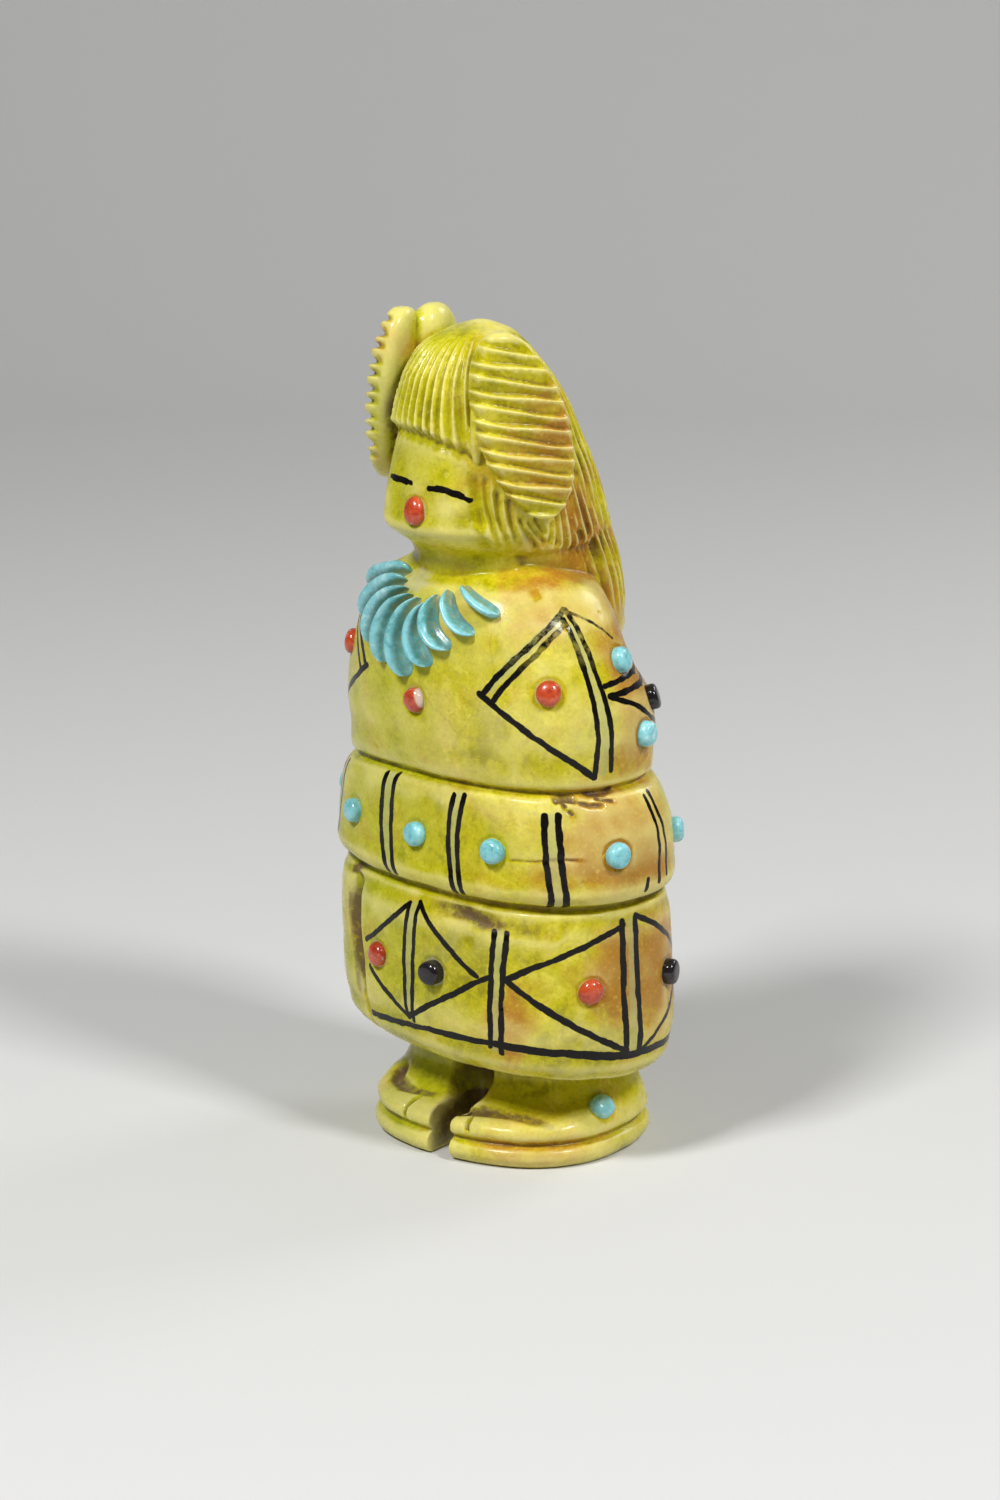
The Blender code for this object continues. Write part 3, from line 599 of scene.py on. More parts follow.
# %% Where each point lies
# Degrees round the stone are counted about an upright line through x = 0 and this y.
MIDDLE_Y = 0.6
points, normals = read_points(stone_mesh), read_normals(stone_mesh)
count = len(points)
around = np.degrees(np.arctan2(points[:, 0], MIDDLE_Y - points[:, 1]))
radius = np.hypot(points[:, 0], points[:, 1] - MIDDLE_Y)
outside = (normals[:, 0] * points[:, 0] + normals[:, 1] * (points[:, 1] - MIDDLE_Y)) > 0


def line_distance(line, mirrored=False):
    """Distance in mm from every point to a line of (degrees, height) places, measured on the unrolled stone:
    degrees are scaled by the point's own radius, then the nearest spot of each straight piece is taken.
    It also gives how far along the whole line that spot is, from 0 to 1."""
    angle = np.abs(around) if mirrored else around
    best = np.full(count, 99.0)
    share = np.zeros(count)
    pieces = len(line) - 1
    for number, (start, end) in enumerate(zip(line[:-1], line[1:])):
        scale = np.radians(radius)
        ax, az = (angle - start[0]) * scale, points[:, 2] - start[1]
        bx, bz = (end[0] - start[0]) * scale, end[1] - start[1]
        along = np.clip((ax * bx + az * bz) / (bx * bx + bz * bz + 1e-9), 0, 1)
        distance = np.hypot(ax - along * bx, az - along * bz)
        closer = distance < best
        best = np.where(closer, distance, best)
        share = np.where(closer, (number + along) / pieces, share)
    return best, share


cuts = np.zeros(count)
stain = np.zeros(count)
print("points to cut:", count)

# %% Cuts round the face and through the hair


def cut(line, width, depth, mirrored=True, where=None, brown=0.0, fade=0.14):
    """Deepens the cuts along a line, and browns it: a bell curve of the distance, times the depth or the brown.
    The brown is wax in most cuts and painted shade below the roll. Over a first and a last share of the line,
    both fade to a quarter."""
    distance, share = line_distance(line, mirrored)
    taper = smooth_step(0.0, fade, share) * (1 - smooth_step(1.0 - fade, 1.0, share)) * 0.75 + 0.25
    chosen = outside if where is None else outside & where
    cuts[:] = np.maximum(cuts, depth * taper * bump(distance, width) * chosen)
    stain[:] = np.maximum(stain, brown * taper * bump(distance, width * 1.15) * chosen)


random = np.random.default_rng(12)
on_head = points[:, 2] > 60.5
off_whorl = np.abs(points[:, 0]) < 11.2
CHEEK = [(31.5, 74), (33, 72.5), (34, 70), (37, 66.5)]
BESIDE_CHEEK = (
    [(36, 73.6), (37.5, 70.6), (43, 66.2)], [(42.5, 72.2), (44, 69), (48.5, 65.9)],
    [(48, 71.2), (50, 69), (53.5, 66.3)],
)
FAN_UNDER_WHORL = (
    [(53.5, 69.2), (60, 67.1), (67.5, 65)], [(58.5, 68.8), (64.5, 67.2), (72.5, 65.5)], [(63, 69), (71, 66.7)],
    [(75.5, 68.3), (75.2, 65.5)], [(79, 69), (80, 67.2), (82, 64.9)], [(83, 70), (85.5, 67.2), (90, 64.3)],
    [(87.5, 70.7), (92.5, 66.9), (99, 63.8)], [(92, 71.5), (98, 68.2), (106, 63.2)],
    [(96, 72.4), (103.5, 68.6), (116.5, 62.6)], [(100, 73.6), (110, 69), (123, 62.4)],
    [(106, 75), (117, 69.5), (131, 62.6)], [(113, 77), (126, 70), (139, 62)],
)
cut(CHEEK, 1.3, 0.4, where=on_head, brown=0.1, fade=0.25)
for line in BESIDE_CHEEK:
    cut(line, 0.8, 0.45, where=on_head & off_whorl)
for line in FAN_UNDER_WHORL:
    cut(line, 0.75, 0.5, where=on_head & off_whorl, brown=random.uniform(0.0, 0.22))
print("deepest hair cut:", round(cuts.max(), 2), "mm")

# %% Gouges and creases on the lower stone
# The gouge under the roll, two cuts down the wrapped edge, the groove on round to the left, brown with no cut
# below it, partly wax and partly painted shade under the roll, and the hairline crack across the roll: line,
# width, depth, brown, and the share that fades.
ONE_SIDE_CUTS = (
    ([(5, 28.3), (18, 28.1), (29, 28), (36, 27.6), (45, 27.2), (62, 26.9)], 1.5, 0.6, 0.95, 0.4),
    ([(-48, 29.8), (-47, 27.6)], 2.0, 0.2, 1.0, 0.4),
    ([(-48, 28.8), (-46.5, 25.5), (-43, 21), (-39.5, 17), (-38, 13)], 1.3, 0.15, 1.0, 0.3),
    ([(28, 28.9), (48, 29.0), (64, 29.1), (84, 29.2), (120, 29.2)], 0.7, 0.1, 0.35, 0.14),
    ([(34, 27.5), (50, 27.2), (74, 26.9)], 1.9, 0.0, 0.45, 0.35),
    ([(46, 34.5), (55, 34.6), (64, 35.0), (71, 34.9)], 0.25, 0.12, 0.7, 0.14),
)
for line, width, depth, brown, fade in ONE_SIDE_CUTS:
    cut(line, width, depth, mirrored=False, brown=brown, fade=fade)


def crease(line, width, depth, brown):
    """A cut whose line is given in x, y and z, for places where the stone is too level to follow by angle.
    It is a bell curve past 0.3 mm from the line, and it narrows to a third and fades towards the line's end."""
    best, far = np.full(count, 99.0), np.zeros(count)
    for number, (start, end) in enumerate(zip(line[:-1], line[1:])):
        start, run = np.array(start), np.array(end) - np.array(start)
        share = np.clip((points - start) @ run / (run @ run), 0, 1)
        distance = np.linalg.norm(points - start - share[:, None] * run, axis=1)
        far = np.where(distance < best, (number + share) / (len(line) - 1), far)
        best = np.minimum(best, distance)
    best = np.maximum(best - 0.3, 0) / (1 - 0.65 * far)
    cuts[:] = np.maximum(cuts, depth * (1 - far) * bump(best, width))
    stain[:] = np.maximum(stain, brown * (1 - 0.4 * far) * bump(best, 1.25 * width))


RIGHT_FOOT = [(-9.2, -6.2, 6.0), (-8.2, -7.4, 5.4), (-5.9, -8.6, 5.3), (-4.0, -8.8, 5.3), (-0.8, -8.4, 5.2)]
LEFT_FOOT = [(3.4, -8.6, 5.2), (4.6, -8.2, 5.3), (6.6, -7.5, 5.4), (8.2, -6.9, 5.3), (12.8, -5.0, 4.6)]
LEFT_FOOT_FRONT = [(2.9, -8.9, 5.0), (4.6, -8.6, 5.1), (6.8, -7.9, 5.2), (10.5, -6.2, 5.0)]
crease(RIGHT_FOOT, 1.1, 0.7, 1.0)
crease(LEFT_FOOT, 1.5, 0.9, 1.0)
crease(LEFT_FOOT_FRONT, 0.5, 0.5, 1.0)
print("deepest cut so far:", round(cuts.max(), 2), "mm")

# %% Chips on the feet and the roll, and pits everywhere
cut([(-14.5, 5.2), (-13.5, 3.0)], 0.5, 0.4, mirrored=False, brown=0.5)
cut([(28.5, 5.2), (27, 4.3), (27.5, 3.4)], 0.5, 0.4, mirrored=False, brown=0.6)
ROLL_CHIPS = (
    ([(62.5, 40.7), (66, 40.95), (71, 40.8)], 0.55, 0.5), ([(65, 41), (66.5, 40.1)], 0.45, 0.45),
    ([(70, 40.7), (74, 40.3), (79, 40.2)], 0.4, 0.25), ([(73, 41.2), (80, 41.1), (86, 41.5)], 0.4, 0.2),
    ([(76, 40.9), (83, 40.4)], 0.35, 0.2), ([(67, 39.9), (68.5, 39.4)], 0.35, 0.2),
)
for line, width, depth in ROLL_CHIPS:
    cut(line, width, depth, mirrored=False, brown=0.9)
PITS = 90
for _ in range(PITS):
    middle = np.array([random.uniform(-180, 180), random.uniform(11.4, 64.0)])
    size = random.uniform(0.12, 0.35)
    spot = np.hypot((around - middle[0]) * np.radians(radius), points[:, 2] - middle[1])
    cuts += random.uniform(0.03, 0.1) * bump(spot, size * 1.8)
print("with chips and", PITS, "pits:", round(cuts.max(), 2), "mm")

# %% Brown wax and painted shade in the deep places
# The toe slot and the hollow between the legs are browned, partly as wax and partly as painted shade.
feet_x, feet_y, feet_z = to_feet_place(points).T
half = 0.5 * SLOT_WIDTH
slot_wax_and_shade = 1 - smooth_step(half + 0.1, half + 0.5, np.abs(feet_x - SLOT_MIDDLE))
slot_wax_and_shade *= smooth_step(-11.8, -9.6, feet_y) * (feet_y < 0)
slot_wax_and_shade *= (1 - smooth_step(4.6, 5.8, feet_z)) * (feet_z > 0.3)
from_hollow = np.linalg.norm((to_feet_place(points) - LEG_HOLLOW[0]) / LEG_HOLLOW[1], axis=1)
hollow_wax_and_shade = 0.45 * (1 - smooth_step(1.0, 1.2, from_hollow))
stain = np.maximum(stain, np.maximum(0.9 * slot_wax_and_shade, hollow_wax_and_shade))
# Brown with no cut where the far whorl meets the fringe: partly wax, partly painted shade in the crevice.
BY_FAR_WHORL = [(-6.5, -9.2, 79.0), (-6.2, -9.4, 77.5), (-7.2, -8.0, 75.5), (-7.9, -7.6, 73.5)]
crease(BY_FAR_WHORL, 1.1, 0.0, 0.85)
print("stained:", round(float((stain > 0.3).mean()) * 100, 1), "% of the points")

# %% Where the stone is rusty
# Each place: degrees round, height, half its width in degrees, half its height in mm, and how strong it is.
RUST_PLACES = (
    (72, 77, 25, 6, 0.75), (88, 72, 12, 6, 0.7), (-38, 84, 12, 4, 0.25), (104, 66, 24, 7, 0.8),
    (112, 58, 30, 6, 0.9), (100, 50, 17, 9, 0.9), (83, 36, 24, 6, 0.95), (84, 22, 12, 7, 0.9),
    (80, 61, 40, 5, 0.5), (62, 33, 8, 4, 0.7), (47, 17, 9, 4, 0.7), (104, 21, 24, 8, 0.9),
    (60, 2, 30, 3, 0.45), (150, 40, 40, 30, 0.45), (-150, 30, 30, 16, 0.3),
)
rusty = np.zeros(count)
for degrees_round, height, half_degrees, half_height, strength in RUST_PLACES:
    turned = (around - degrees_round + 180) % 360 - 180
    spread = np.hypot(turned / half_degrees, (points[:, 2] - height) / half_height)
    rusty = np.maximum(rusty, strength * (1 - smooth_step(0.2, 1.5, spread)))
print("rusty:", round(float((rusty > 0.3).mean()) * 100, 1), "% of the points")

# %% Rings round the beads, and the glue that squeezed out of them
GLUE_AMOUNT = {"jet": 1.0, "coral": 0.75, "turquoise": 0.4}
glue = np.zeros(count)
for name, (here, left, up, out) in places.items():
    local = points - here
    off_axis = np.hypot(local @ left, local @ up)
    near = np.abs(local @ out) < 1.5
    cuts += 0.14 * near * bump(off_axis - BEAD_RADIUS - 0.05, 0.45)
    amount = GLUE_AMOUNT[name.split("_")[0]]
    glue = np.maximum(glue, amount * near * (1 - smooth_step(1.3, 2.2, off_axis)))
# A pool of glue lies where the roots of the claws meet, under the chin.
necklace_glue = np.hypot((around + 12.0) * np.radians(radius) / 2.8, (points[:, 2] - 61.3) / 1.6)
glue = np.maximum(glue, 0.95 * (1 - smooth_step(0.5, 1.15, necklace_glue)) * (points[:, 1] < 0))
points -= normals * cuts[:, None]
points += normals * (0.07 * lumps(points, 6.0, 5) + 0.03 * lumps(points, 2.4, 8))[:, None]
write_points(stone_mesh, points)
for name, values in (("glue", glue), ("stain", stain), ("rusty", rusty)):
    write_layer(stone_mesh, name, values)
print("glue covers", round(float((glue > 0.3).mean()) * 100, 2), "% of the stone's points")

# %% [markdown]
# ## A lighter mesh
# The even skin has far more faces than the smooth cheeks and shoulders need. Decimate folds faces together
# where the surface is nearly flat and keeps them in the cuts. The result stays under two hundred thousand
# triangles. It is one closed skin, apart from two specks of doubled faces, about 0.02 mm across.

# %% Fold away the faces that smooth areas don't need
MOST_TRIANGLES = 186000
triangles = triangle_count(stone_mesh)
lighter = stone.modifiers.new("lighter", "DECIMATE")
lighter.ratio = min(1.0, MOST_TRIANGLES / triangles)
stone_mesh = apply_modifiers(stone)
stone_mesh.name = "carved_stone"
stone_mesh.shade_smooth()
print("from", triangles, "to", triangle_count(stone_mesh), "triangles")

# %% [markdown]
# ## Hollows, where dirt and wax stay and where shade is painted
# Polish never reaches the bottom of a groove, so a carving keeps brown patina there, and the material paints
# shade into them as well. To find hollows the mesh is averaged with its neighbours again and again: a point
# that lies below its own smoothed place is in a hollow. Few rounds find fine cuts, and many rounds find broad
# hollows such as the neck and the undercuts.

# %% Measure the hollows
points, normals = read_points(stone_mesh), read_normals(stone_mesh)
count = len(points)
edges = np.empty(len(stone_mesh.edges) * 2, np.int32)
stone_mesh.edges.foreach_get("vertices", edges)
first, second = edges.reshape(-1, 2).T
neighbours = np.bincount(first, minlength=count) + np.bincount(second, minlength=count)


def averaged(values):
    """Each point's value moved halfway to the mean of its neighbours."""
    total = np.bincount(first, values[second], count) + np.bincount(second, values[first], count)
    return 0.5 * values + 0.5 * total / neighbours


# The count of rounds after which each kind of hollow is measured.
HOLLOWS = {14: "hollow_fine", (160): "hollow_broad"}
smoothed = points.copy()
for rounds in range(1, max(HOLLOWS) + 1):
    for axis in range(3):
        smoothed[:, axis] = averaged(smoothed[:, axis])
    if rounds in HOLLOWS:
        depth = averaged(averaged(((smoothed - points) * normals).sum(axis=1)))
        write_layer(stone_mesh, HOLLOWS[rounds], depth)
        print(HOLLOWS[rounds], "deepest", round(depth.max(), 2), "mm; 95 in 100 are under",
              round(np.percentile(depth, 95), 3))
write_points(stone_mesh, points * MM)
stone_mesh.update()

# %% [markdown]
# ## Beads
# Coral and turquoise beads are low domes ground by hand, so no two are quite round. Jet beads are short pegs
# with a bevelled top that stand higher. Each bead is a profile turned about its own axis: the distance from
# the axis and the height are functions of one parameter, and a slow wave round the turn makes it uneven.

# %% Turned beads
# How far each kind of bead rises above the stone, and how square its dome is.
DOMES = {"turquoise": (1.12, 3.0), "coral": (0.85, 2.3), "jet": (1.2, 4.5)}
STEM = (-0.85, -0.4)


def bead_rings(kind, seed):
    """Rings of one bead from the foot of its stem to the top: a straight stem, then a superellipse dome.
    Radius = (1 - t^p)^(1/p) of the full radius at height t of the rise. Two slow waves make it out of round,
    and a lean of a few degrees tilts its top."""
    random = np.random.default_rng(seed)
    rise, power = DOMES[kind]
    rise *= random.uniform(0.9, 1.1)
    lean = random.uniform(-0.06, 0.06, 2)
    t = np.sin(np.linspace(0, np.pi / 2, 15))[:-1]
    height = np.concatenate([STEM, rise * t, [rise * 0.999]])
    reach = np.concatenate([[1, 1], (1 - t**power) ** (1 / power), [0.04]])
    turn, up = np.meshgrid(np.radians(np.arange(0, 360, 7.5)), height)
    out = np.meshgrid(turn[0], reach)[1]
    wobble = 1 + 0.025 * np.sin(2 * turn + random.uniform(0, 6))
    wobble = wobble + 0.015 * np.sin(3 * turn + random.uniform(0, 6))
    across = BEAD_RADIUS * 0.985 * out * wobble
    up = up + across * (lean[0] * np.cos(turn) + lean[1] * np.sin(turn)) * (up > 0)
    return np.stack([across * np.cos(turn), across * np.sin(turn), up], axis=-1)


# The mouth is taller than wide, the jet pegs on the shoulders are worn low, and glue is smeared on one bead.
MOUTH_SHAPE, WORN_PEG = [0.94, 1.1, 1.0], 0.7
SMEARED = {"coral_chest": 0.9}
beads = {}
for seed, (name, (here, left, up, out)) in enumerate(places.items()):
    rings = bead_rings(name.split("_")[0], seed + 40)
    if name == "coral_mouth":
        rings = rings * MOUTH_SHAPE
    if name.startswith("jet_shoulder"):
        rings[..., 2] *= np.where(rings[..., 2] > 0, WORN_PEG, 1.0)
    rings = here + rings[..., :1] * left + rings[..., 1:2] * up + rings[..., 2:] * out
    smear = SMEARED.get(name, 0.0) * smooth_step(0.78, 0.95, (rings - here) @ (0.9 * left + 0.35 * up))
    bead = into_scene(stock(f"{name}_bead", *skin_of_rings(rings), MM))
    write_layer(bead.data, "smear", np.append(smear, [0.0, 0.0]))
    bead.data.shade_smooth()
    beads[name] = bead
print(len(beads), "beads of", len(bead.data.polygons), "faces")

# %% [markdown]
# ## The claw necklace
# Nine curved claws of turquoise fan out over the chest, packed side by side, and the last two stand a little
# apart. Each has a rounded ridge nearer its outer curve and a hollowed slope inside, and is blunt at the tip.
# Dust and brown wax collect on the slope, and it is darkened further with painted shade.
# A claw is drawn on the flat of the chest by its reach from the fan's middle and its sideways place, and every
# point is then pressed onto the stone and raised by its height in the claw's cross section.

# %% Claws pressed onto the chest
# The angle that one full claw takes up, the fan's middle on the chest, and how deep a claw's foot lies.
CLAW_SPREAD = np.radians(15.8)
FAN_X, FAN_Z, CLAW_SINK = -1.7, 63.8, 0.5
# Each claw: reach of its root and of its tip, degrees turned from straight down, bow in mm, share of the full
# width, and how even its width is from root to tip (0 is a wedge of the fan, 1 is a rod).
CLAWS = {
    -4: (4.3, 10.3, -62, 0.2, 0.85, 0.3), -3: (4.0, 11.0, -46.5, 0.6, 1.0, 0.2),
    -2: (3.9, 11.4, -31, 1.0, 1.0, 0.1), -1: (3.9, 11.6, -15, 1.2, 1.0, 0.1),
    0: (3.9, 12.0, 3, 1.3, 1.0, 0.1), 1: (4.4, 11.1, 20, 1.3, 0.95, 0.2),
    2: (4.1, 10.4, 37, 1.2, 0.85, 0.6), 3: (4.6, 11.0, 54, 0.6, 0.56, 0.9),
    4: (5.8, 11.8, 68, 0.1, 0.52, 1.0),
}


def chest_point(x, z, rise):
    """The point of the chest behind (x, z), moved square out of the stone by rise. Its angle is the one whose
    sine, to the power squareness / 2, is x as a share of the body's half width."""
    half_width = flow(np.minimum(z, 60.6), BODY, 1)
    share = np.clip(np.abs(x) / half_width, 0, 0.99)
    turn = np.sign(x) * np.degrees(np.arcsin(share ** (BODY_SQUARENESS / 2)))
    here = wrapped_body(turn, z)
    left = wrapped_body(turn + 1.5, z) - wrapped_body(turn - 1.5, z)
    up = wrapped_body(turn, z + 0.4) - wrapped_body(turn, z - 0.4)
    out = np.cross(left, up)
    out /= np.linalg.norm(out, axis=-1, keepdims=True)
    return here + out * rise[..., None]


def claw_rings(number, along, across, rise):
    """One claw. Its half width is a superellipse of the way along, fullest just past the middle and blunt at
    both ends, its middle line bends by half a sine, and its heading turns with its number in the fan."""
    root, tip, turned, bow, width, even = CLAWS[number]
    reach = root + (tip - root) * along
    away = np.where(along < 0.55, (0.55 - along) / 0.552, (along - 0.55) / 0.454)
    fullness = (1 - away ** np.where(along < 0.55, 5.5, 3.0 + 1.5 * even)) ** 0.5
    half_width = 0.5 * fullness * width * (CLAW_SPREAD * (reach + even * (9.5 - reach)) - 0.1)
    sideways = half_width * across - bow * np.sin(np.pi * along)
    heading = np.radians(turned) + sideways / reach
    x = FAN_X + reach * np.sin(heading) + 1.1 * (1 - along) ** 1.5
    z = FAN_Z - reach * np.cos(heading)
    swell = smooth_step(-0.6, 0.25, along) * (0.5 + 0.5 * fullness) * (1 - 0.05 * abs(number))
    return chest_point(x, z, rise * swell - CLAW_SINK)


print("the longest claw is", round(max(tip - root for root, tip, *_ in CLAWS.values()), 1), "mm")

# %% The claws' cross section, and their making
# From the outer edge over the ridge and down the hollow slope to the inner edge. Across is a share of the half
# width, and rise is in mm.
SECTION_ACROSS = np.array(
    [-0.92, -1.0, -1.0, -0.96, -0.88, -0.72, -0.5, -0.28, -0.08, 0.06, 0.2, 0.5, 0.82, 1.0, 0.92]
)
SECTION_RISE = np.array([0.0, 0.8, 1.5, 1.95, 2.25, 2.42, 2.44, 2.3, 1.98, 1.5, 1.12, 0.88, 0.74, 0.5, 0.0])
lengths = 0.5 - 0.5 * np.cos(np.linspace(0.08, np.pi - 0.05, 44))
along, across = np.meshgrid(lengths, SECTION_ACROSS, indexing="ij")
rise = np.meshgrid(lengths, SECTION_RISE, indexing="ij")[1]
# Dust and painted shade lie on the hollow slope and at the root. The two last values are for the middles of the
# end fans.
slope_dust_and_shade = smooth_step(-0.25, 0.08, across) * (1 - 0.3 * along) + 0.4 * smooth_step(0.35, 0.0, along)
slope_dust_and_shade = np.append(slope_dust_and_shade, [1.0, 0.0])
claws = {}
for number in CLAWS:
    name = f"necklace_claw_{number + 5}"
    claw = into_scene(stock(f"{name}_fine", *skin_of_rings(claw_rings(number, along, across, rise)), MM))
    write_layer(claw.data, "slope_dust_and_shade", slope_dust_and_shade)
    ease = claw.modifiers.new("ease", "SUBSURF")
    ease.levels, ease.render_levels = 1, 1
    claw.data.shade_smooth()
    claws[name] = claw
print(len(claws), "claws of", len(claw.data.polygons), "faces")

# %% [markdown]
# ## Finishes: small groups first
# Three effects come back in several stones, so each is a node group with named inputs and outputs: cloudy
# colour, speckle, and polish that is worn in places. A group only gives colours and masks. The shader itself
# stays in each material, so that a stone's gloss can be read in one place.

# %% A short way to wire nodes


class Bench:
    """A node tree with short calls. An input may be a plain value or another node's socket."""

    def __init__(self, tree):
        self.tree = tree

    def add(self, kind, settings=None, **inputs):
        """A node of a kind. Inputs go by name, or by number as i0, i1 and so on."""
        node = self.tree.nodes.new(kind)
        for name, value in (settings or {}).items():
            setattr(node, name, value)
        for name, value in inputs.items():
            key = int(name[1:]) if name[0] == "i" and name[1:].isdigit() else name.replace("_", " ")
            self.join(value, node.inputs[key])
        return node

    def join(self, value, socket):
        """Wires a socket to an input, or sets a plain value on it. None leaves it as it is."""
        if isinstance(value, bpy.types.NodeSocket):
            self.tree.links.new(value, socket)
        elif value is not None:
            socket.default_value = value

    def maths(self, operation, first, second=0.0, third=None, clamp=False):
        """One Math node on numbers."""
        settings = {"operation": operation, "use_clamp": clamp}
        return self.add("ShaderNodeMath", settings, i0=first, i1=second, i2=third).outputs[0]

    def plus(self, first, second):
        """The sum of two numbers."""
        return self.maths("ADD", first, second)

    def minus(self, first, second):
        """The first number less the second."""
        return self.maths("SUBTRACT", first, second)

    def times(self, first, second):
        """The product of two numbers."""
        return self.maths("MULTIPLY", first, second)

    def vectors(self, operation, first, second=None, **inputs):
        """One Vector Math node. Output 0 is a vector, and output 1 is a number, as for a length."""
        return self.add("ShaderNodeVectorMath", {"operation": operation}, i0=first, i1=second, **inputs).outputs

    def flat(self, across, up):
        """A vector from two numbers, with nothing in its third place."""
        return self.add("ShaderNodeCombineXYZ", None, X=across, Y=up, Z=0.0).outputs[0]

    def ramp(self, value, low, high, to_low=0.0, to_high=1.0):
        """A smooth step of the value from low to high, stretched to run from to_low to to_high."""
        node = self.add("ShaderNodeMapRange", {"interpolation_type": "SMOOTHSTEP"}, i0=value)
        for index, number in enumerate((low, high, to_low, to_high)):
            self.join(number, node.inputs[index + 1])
        return node.outputs[0]

    def noise(self, place, scale, detail=3.0, rough=0.55, bend=0.0, output="Fac"):
        """Cloudy noise of so many lumps to the millimetre, around 0.5."""
        inputs = {"Vector": place, "Scale": scale, "Detail": detail, "Roughness": rough, "Distortion": bend}
        return self.add("ShaderNodeTexNoise", None, **inputs).outputs[output]

    def layer(self, name):
        """A value that is kept at each point of the mesh."""
        return self.add("ShaderNodeAttribute", {"attribute_name": name}).outputs["Fac"]

    def blend(self, share, first, second):
        """The first colour where the share is 0, and the second where it is 1."""
        node = self.add("ShaderNodeMix", {"data_type": "RGBA", "clamp_factor": True})
        for index, value in ((0, share), (6, first), (7, second)):
            self.join(value, node.inputs[index])
        return node.outputs[2]

    def paint(self, mask, strength, under, over):
        """Lays one colour over another in a share of mask times strength."""
        return self.blend(self.times(mask, strength), under, over)


def new_group(name, inputs, outputs):
    """An empty shader group with its sockets. Inputs are (name, kind, value), and outputs are (name, kind).
    Returns its bench, what it is given, and what it gives."""
    tree = bpy.data.node_groups.new(name, "ShaderNodeTree")
    for label, kind, value in inputs:
        socket = tree.interface.new_socket(label, in_out="INPUT", socket_type=f"NodeSocket{kind}")
        if value is not None:
            socket.default_value = value
    for label, kind in outputs:
        tree.interface.new_socket(label, in_out="OUTPUT", socket_type=f"NodeSocket{kind}")
    bench = Bench(tree)
    return bench, tree.nodes.new("NodeGroupInput").outputs, tree.nodes.new("NodeGroupOutput").inputs


print("bench ready")

# %% Group: cloudy stone colour
# Two sizes of noise make one cloud. Its high values turn the middle colour light, and its low values dark.
bench, given, gives = new_group(
    "cloudy colour",
    [("Place", "Vector", None), ("Size", "Float", 1.0), ("Light", "Color", (1, 1, 1, 1)),
     ("Middle", "Color", (0.5, 0.5, 0.5, 1)), ("Dark", "Color", (0, 0, 0, 1))],
    [("Color", "Color")],
)
large = bench.noise(given["Place"], bench.times(given["Size"], 0.22), 3.0, 0.6, 0.8)
small = bench.noise(given["Place"], bench.times(given["Size"], 1.1), 4.0, 0.65, 0.4)
cloud = bench.plus(bench.times(large, 0.62), bench.times(small, 0.38))
colour = bench.blend(bench.ramp(cloud, 0.5, 0.66), given["Middle"], given["Light"])
bench.join(bench.blend(bench.ramp(cloud, 0.5, 0.36), colour, given["Dark"]), gives["Color"])
print("cloudy colour:", len(bench.tree.nodes), "nodes")

# %% Group: speckle
# Marks what lies nearer to the middle of a cell than a limit. A slow noise moves the limit, so the specks come
# in patches.
bench, given, gives = new_group(
    "speckle",
    [("Place", "Vector", None), ("Size", "Float", 1.0), ("Amount", "Float", 0.5)],
    [("Mask", "Float")],
)
cells = bench.add("ShaderNodeTexVoronoi", {"feature": "F1"}, Vector=given["Place"], Scale=given["Size"])
patches = bench.noise(given["Place"], bench.times(given["Size"], 0.3), 2.0)
limit = bench.times(bench.ramp(patches, 0.4, 0.7), given["Amount"])
bench.join(bench.ramp(bench.minus(limit, cells.outputs["Distance"]), 0.0, 0.12), gives["Mask"])
print("speckle:", len(bench.tree.nodes), "nodes")

# %% Group: worn polish
# Roughness runs from the smoothest to the roughest by a rubbed noise plus any dullness. Height is the same
# noise with a fine grain in it.
bench, given, gives = new_group(
    "worn polish",
    [("Place", "Vector", None), ("Smoothest", "Float", 0.15), ("Roughest", "Float", 0.45),
     ("Dull", "Float", 0.0)],
    [("Roughness", "Float"), ("Height", "Float")],
)
rubbed = bench.noise(given["Place"], 0.55, 5.0, 0.65)
fine_grain = bench.noise(given["Place"], 6.0, 2.0, 0.5)
share = bench.maths("ADD", bench.ramp(rubbed, 0.35, 0.75), given["Dull"], clamp=True)
span = bench.minus(given["Roughest"], given["Smoothest"])
bench.join(bench.plus(given["Smoothest"], bench.times(share, span)), gives["Roughness"])
bench.join(bench.plus(bench.times(rubbed, 0.6), bench.times(fine_grain, 0.4)), gives["Height"])
print("worn polish:", len(bench.tree.nodes), "nodes")

# %% [markdown]
# ## Ink drawing
# The blanket's pattern is drawn in black ink with a fine brush: diamonds split by double lines on the skirt,
# double lines round the roll, a kite on each shoulder, and two strokes for the eyes. Ink has no thickness, so
# it belongs in the colour. Each stroke is a straight line between two places given by degrees round the stone
# and height. The group measures the distance to that line on the unrolled stone and keeps the smallest so far.
# The nearest share of the line is the dot product of the place and the run, over the run's own. A bow moves
# that spot sideways by share minus share squared, which is nothing at both ends.

# %% Group: one brush stroke
bench, given, gives = new_group(
    "brush stroke",
    [("So Far", "Float", 9.0), ("Place", "Vector", None), ("Scale", "Vector", (1, 1, 1)),
     ("Start", "Vector", None), ("Run", "Vector", None), ("Half Width", "Float", 0.37), ("Bow", "Float", 0.0)],
    [("Distance", "Float")],
)
from_start = bench.vectors("SUBTRACT", given["Place"], given["Start"])[0]
from_start = bench.vectors("MULTIPLY", from_start, given["Scale"])[0]
run = bench.vectors("MULTIPLY", given["Run"], given["Scale"])[0]
share = bench.vectors("DOT_PRODUCT", from_start, run)[1]
share = bench.maths("DIVIDE", share, bench.vectors("DOT_PRODUCT", run, run)[1])
